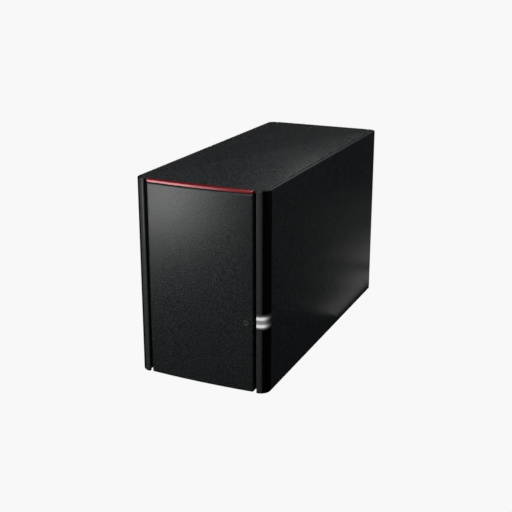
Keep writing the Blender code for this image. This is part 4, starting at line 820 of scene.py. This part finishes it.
def networkContacts():
    # eight gold spring wires in the network socket, each bent over five spots
    low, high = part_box("network_jack")
    middle = (low[0] + high[0]) / 2
    t, spots = np.linspace(0, 1, contact["stations"]), np.linspace(0, 1, len(contact["deep"]))
    y = np.interp(t, spots, np.array(contact["deep"]) + high[1])
    z = np.interp(t, spots, np.array(contact["heights"]) + low[2])
    a = np.linspace(0, 2 * math.pi, contact["sides"], endpoint=False)
    hoop = contact["radius"] * np.column_stack([np.cos(a), np.zeros(len(a)), np.sin(a)])
    rings = []
    for number in range(8):
        x = middle + (number - 3.5) * contact["pitch"]
        wire = np.column_stack([np.full(len(t), x), y, z])
        rings.append(wire[:, None, :] + hoop[None])
    return lofts("networkContacts", rings, looks["gold"], "chassis")


networkContacts()

usb = {"half": 5.06 * mm, "rear": 10.9 * mm, "front": 1.24 * mm, "foot": 2.94 * mm, "head": 4.66 * mm,
       "edge": 0.2 * mm, "contacts": (-3.5 * mm, -1.0 * mm, 1.0 * mm, 3.5 * mm), "contactHalf": 0.5 * mm,
       "contactRear": 9 * mm, "contactFront": 2 * mm, "contactFoot": 2.84 * mm, "contactHead": 3.0 * mm,
       "contactEdge": 0.05 * mm}


def usbTongue():
    # the socket's blue tongue and the four gold contacts under it
    low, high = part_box("usb_socket")
    middle = (low[0] + high[0]) / 2
    box = roundedBox((middle - usb["half"], high[1] - usb["rear"], low[2] + usb["foot"]),
                     (middle + usb["half"], high[1] - usb["front"], low[2] + usb["head"]), usb["edge"])
    loft("usbTongue", box, looks["blue"], "chassis")
    half, rear, front = usb["contactHalf"], high[1] - usb["contactRear"], high[1] - usb["contactFront"]
    foot, head = low[2] + usb["contactFoot"], low[2] + usb["contactHead"]
    contacts = [roundedBox((middle + x - half, rear, foot), (middle + x + half, front, head),
                           usb["contactEdge"]) for x in usb["contacts"]]
    lofts("usbContacts", contacts, looks["gold"], "chassis")


usbTongue()


rotor = {"half": 30 * mm, "hub": 12.5 * mm, "tip": 27.6 * mm, "behind": 0.9 * mm, "edge": 1.2 * mm,
         "axle": 1.5 * mm, "axleLength": 2 * mm, "chamfer": 0.4 * mm, "blades": 7, "blade": 0.55 * mm,
         "bladeBack": 6.2 * mm, "sweep": 40, "moreSweep": 5, "lean": 0.12, "pitch": 11.0 * mm,
         "lessPitch": 2.2 * mm, "bow": 0.9 * mm, "cap": 1.9 * mm, "capStep": 0.1 * mm,
         "capDepth": 0.12 * mm}


def fanRotor():
    # the hub and its blades: radius runs from hub to tip, the chord turns from steep to shallow
    # and bows
    low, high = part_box("fan_rotor")
    centre = np.array([0, 0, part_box("fan_frame")[0][2] + rotor["half"]])
    hub, tip, edge = rotor["hub"], rotor["tip"], rotor["edge"]
    back, start = high[1] - rotor["behind"], low[1]
    shelf = start + rotor["axleLength"]
    t = np.linspace(0, math.pi / 2, 8)
    profile = [(rotor["axle"], start), (rotor["axle"], shelf), (hub - rotor["chamfer"], shelf),
               (hub, shelf + rotor["chamfer"])]
    profile += [(hub - edge * (1 - math.cos(a)), back - edge * (1 - math.sin(a))) for a in t]
    cap, floorY = hub - rotor["cap"], back - rotor["capDepth"]
    profile += [(cap, back), (cap - rotor["capStep"], floorY), (centreRadius, floorY)]
    loft("fanHub", turned(profile, centre, (0, 1, 0), 64), looks["inner"], "fan_rotor",
         ["fan_rotor"])
    chord = np.linspace(0, 1, 14)
    thickness = rotor["blade"] * np.sqrt(np.clip(1 - (2 * chord - 1) ** 2, 0.05, 1))
    blades = []
    for number in range(rotor["blades"]):
        rings = []
        for r in np.linspace(hub - 0.5 * mm, tip, 16):
            s = (r - hub) / (tip - hub)
            sweep = math.radians(rotor["sweep"] + rotor["moreSweep"] * s) * (chord - 0.5)
            around = 2 * math.pi * number / rotor["blades"] + sweep + rotor["lean"] * s
            slope = (rotor["pitch"] - rotor["lessPitch"] * s) * (0.5 - chord)
            y = back - rotor["bladeBack"] + slope + rotor["bow"] * np.sin(math.pi * chord)
            upper = np.column_stack([r * np.cos(around), y + thickness / 2, r * np.sin(around)])
            lower = np.column_stack([r * np.cos(around), y - thickness / 2, r * np.sin(around)])
            rings.append(np.concatenate([upper, lower[::-1]]) + centre)
        blades.append(rings)
    lofts("fanBlades", blades, looks["inner"], "fan_rotor")


fanRotor()
print("rear made")


# ---- CAD nodes that keep their shape: edges softened and finishes given

finishes = {
    "base_panel": ("rear", "case_plastic", 0.2), "rear_panel": ("rear", "case_plastic", 0.18),
    "front_frame": ("inner", "frame_plastic", 0.2), "drive_cage": ("zinc", "sheet_steel", 0.12),
    "left_tray": ("tray", "frame_plastic", 0.2), "right_tray": ("tray", "frame_plastic", 0.2),
    "left_tray_latch": ("button", "frame_plastic", 0.2),
    "right_tray_latch": ("button", "frame_plastic", 0.2),
    "left_drive_body": ("cast", "cast_alloy", 0.3), "right_drive_body": ("cast", "cast_alloy", 0.3),
    "left_drive_lid": ("lid", "sheet_steel", 0.12), "right_drive_lid": ("lid", "sheet_steel", 0.12),
    "left_drive_board": ("board", "circuit_board", 0.1),
    "right_drive_board": ("board", "circuit_board", 0.1),
    "main_board": ("board", "circuit_board", 0.1), "backplane_board": ("board", "circuit_board", 0.1),
    "status_board": ("board", "circuit_board", 0.1), "fan_frame": ("inner", "frame_plastic", 0.25),
    "network_jack": ("tin", "socket_steel", 0.15), "usb_socket": ("tin", "socket_steel", 0.12),
    "power_jack": ("socket", "socket_plastic", 0.15),
    "edge_connector": ("socket", "socket_plastic", 0.12),
    "left_sata_socket": ("socket", "socket_plastic", 0.12),
    "right_sata_socket": ("socket", "socket_plastic", 0.12),
    "processor": ("chip", "socket_plastic", 0.12),
    "processor_heatsink": ("sink", "cast_alloy", 0.12),
    "power_switch": ("socket", "socket_plastic", 0.12),
    "function_switch": ("socket", "socket_plastic", 0.12),
}
for node, (look, slotName, width) in finishes.items():
    softened(node, looks[look], bodyOf[node], width)
for slot in frame["nodes"]["fan_lead"].material_slots:
    slot.material = looks["inner"]
print("nodes finished:", len(finishes))


# ---- drives: sticker and board parts

sticker = {"front": 96 * mm, "rear": 6 * mm, "margin": 14 * mm, "sunk": 0.02 * mm, "thick": 0.12 * mm,
           "edge": 0.05 * mm}
driveChips = [(70, 30, 16, 16, 1.1), (92, 22, 9, 12, 0.9), (96, 44, 12, 8, 0.9), (58, 62, 10, 7, 0.9),
              (84, 70, 7, 7, 0.9), (104, 66, 5, 9, 0.8)]      # y, z, both lengths and height in mm
resistor = {"count": 12, "y": 60, "pitch": 4.2, "z": 54, "row": 9, "long": 2, "wide": 1.2, "high": 0.6}


def driveDetails(side):
    body = f"{side}_tray"
    low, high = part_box(f"{side}_drive_lid")
    box = roundedBox((high[0] - sticker["sunk"], low[1] + sticker["front"], low[2] + sticker["margin"]),
                     (high[0] + sticker["thick"], high[1] - sticker["rear"],
                      high[2] - sticker["margin"]),
                     sticker["edge"])
    loft(f"{side}DriveSticker", box, looks["paper"], body)
    corner = np.array(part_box(f"{side}_drive_board")[0])

    def onBoard(y, z, dy, dz, tall, edge):
        # a box on the board's outer face, all in mm, sunk 0.1 mm into it
        return roundedBox(corner + np.array([-tall, y, z]) * mm,
                          corner + np.array([0.1, y + dy, z + dz]) * mm, edge * mm)

    chips = [onBoard(*chip, 0.15) for chip in driveChips]
    lofts(f"{side}DriveChips", chips, looks["chip"], body)
    small = [onBoard(resistor["y"] + resistor["pitch"] * i, resistor["z"] + resistor["row"] * (i % 3),
                     resistor["long"], resistor["wide"], resistor["high"], 0.1)
             for i in range(resistor["count"])]
    lofts(f"{side}DriveResistors", small, looks["tin"], body)


for side in ("left", "right"):
    driveDetails(side)
print("drives made")


# ---- camera, floor and lights

view = {"place": (0.2433, -0.5561, 0.2569), "yaw": 24.432, "pitch": 16.693, "focalPixels": 919.6,
        "principalY": 225, "side": 512, "sensor": 36}


def camera():
    yaw, pitch = math.radians(view["yaw"]), math.radians(view["pitch"])
    forward = Vector((-math.sin(yaw) * math.cos(pitch), math.cos(yaw) * math.cos(pitch),
                      -math.sin(pitch)))
    data = bpy.data.cameras.new("camera")
    data.sensor_width = view["sensor"]
    data.lens = view["focalPixels"] / view["side"] * view["sensor"]
    data.shift_y = (view["principalY"] - view["side"] / 2) / view["side"]
    data.clip_start = 10 * mm
    made = bpy.data.objects.new("camera", data)
    bpy.context.scene.collection.objects.link(made)
    made.location = view["place"]
    made.rotation_euler = forward.to_track_quat("-Z", "Y").to_euler()
    bpy.context.scene.camera = made


def floor():
    # a pale floor that the object's glossy sides don't mirror
    half, grey = 20.0, 0.936
    corners = [(-half, -half, 0), (half, -half, 0), (half, half, 0), (-half, half, 0)]
    mesh = bpy.data.meshes.new("floor")
    mesh.from_pydata(corners, [], [(0, 1, 2, 3)])
    made = bpy.data.objects.new("floor", mesh)
    bpy.context.scene.collection.objects.link(made)
    look = bpy.data.materials.new("floor_pale_card")
    look.use_nodes = True
    setInputs(look.node_tree, look.node_tree.nodes["Principled BSDF"], {
        "Base Color": (0.0, 0.0, 0.0, 1), "Roughness": 1.0, "Specular IOR Level": 0.0,
        "Emission Color": (grey, grey, grey, 1), "Emission Strength": 1.0})
    mesh.materials.append(look)
    made.visible_glossy = False
    made.visible_diffuse = False


def softbox(name, place, aim, width, height, power):
    data = bpy.data.lights.new(name, "AREA")
    data.shape = "RECTANGLE"
    data.size = width
    data.size_y = height
    data.energy = power
    made = bpy.data.objects.new(name, data)
    bpy.context.scene.collection.objects.link(made)
    made.location = place
    made.rotation_euler = (Vector(aim) - Vector(place)).to_track_quat("-Z", "Y").to_euler()
    made.visible_camera = False


camera()
floor()
# each light: its place, what it faces, width, height and power
softboxes = {
    "highRearBox": ((0, 0.7, 0.9), (0, 0.1, 0.06), 0.5, 0.5, 1.5),
    "nearLeftCard": ((-0.105, -0.215, 0.088), (-0.035, -0.101, 0.122), 0.06, 0.06, 0.033),
    "nearCornerCard": ((-0.167, -0.283, 0.121), (-0.05, -0.101, 0.16), 0.12, 0.12, 0.045),
    "nearFaceCard": ((-0.099, -0.237, 0.105), (-0.02, -0.101, 0.14), 0.1, 0.1, 0.095),
    "frontBox": ((0, -0.6, 0.5), (0, -0.1, 0.1), 0.3, 0.3, 3),
    "frontFloorCard": ((-0.22, -0.3, 0.003), (-0.22, -0.3, 1), 0.16, 0.16, 0.069),
    "rightBox": ((0.9, 0.2, 0.3), (0.04, 0, 0.06), 0.5, 0.5, 0.66),
    "rearRightBox": ((0.8, 0.9, 0.25), (0.04, 0.05, 0.05), 0.4, 0.3, 0.23),
    "sideFloorCard": ((0.065, 0.14, 0.003), (0.065, 0.14, 1), 0.03, 0.1, 0.0016),
    "rearFloorCard": ((0.11, 0.33, 0.003), (0.11, 0.33, 1), 0.08, 0.16, 0.0049),
    "middleFloorCard": ((0.07, 0.2, 0.003), (0.07, 0.2, 1), 0.03, 0.1, 0.0036),
    "topRearCard": ((-0.065, 0.21, 0.27), (0.04, -0.08, 0.127), 0.06, 0.06, 0.00094),
    "topCard": ((0, 0.14, 0.25), (0.04, -0.08, 0.127), 0.05, 0.05, 0.013),
    "topStripCard": ((0.02, 0.25, 0.33), (0.04, -0.08, 0.127), 0.04, 0.2, 0.066),
    "rearPanelCard": ((-0.2, 0.45, 0.062), (0.0, 0.1, 0.062), 0.3, 0.11, 0.8),
    "footCard": ((0.052, 0.08, 0.003), (0.052, 0.08, 1), 0.012, 0.1, 0.0015),
}
for name, (place, aim, width, height, power) in softboxes.items():
    softbox(name, place, aim, width, height, power)
world = bpy.data.worlds.new("studio")
world.use_nodes = True
setInputs(world.node_tree, world.node_tree.nodes["Background"], {
    "Color": (0.9, 0.95, 1.0, 1), "Strength": 0.02})
bpy.context.scene.world = world
bpy.context.scene.view_settings.view_transform = "Standard"
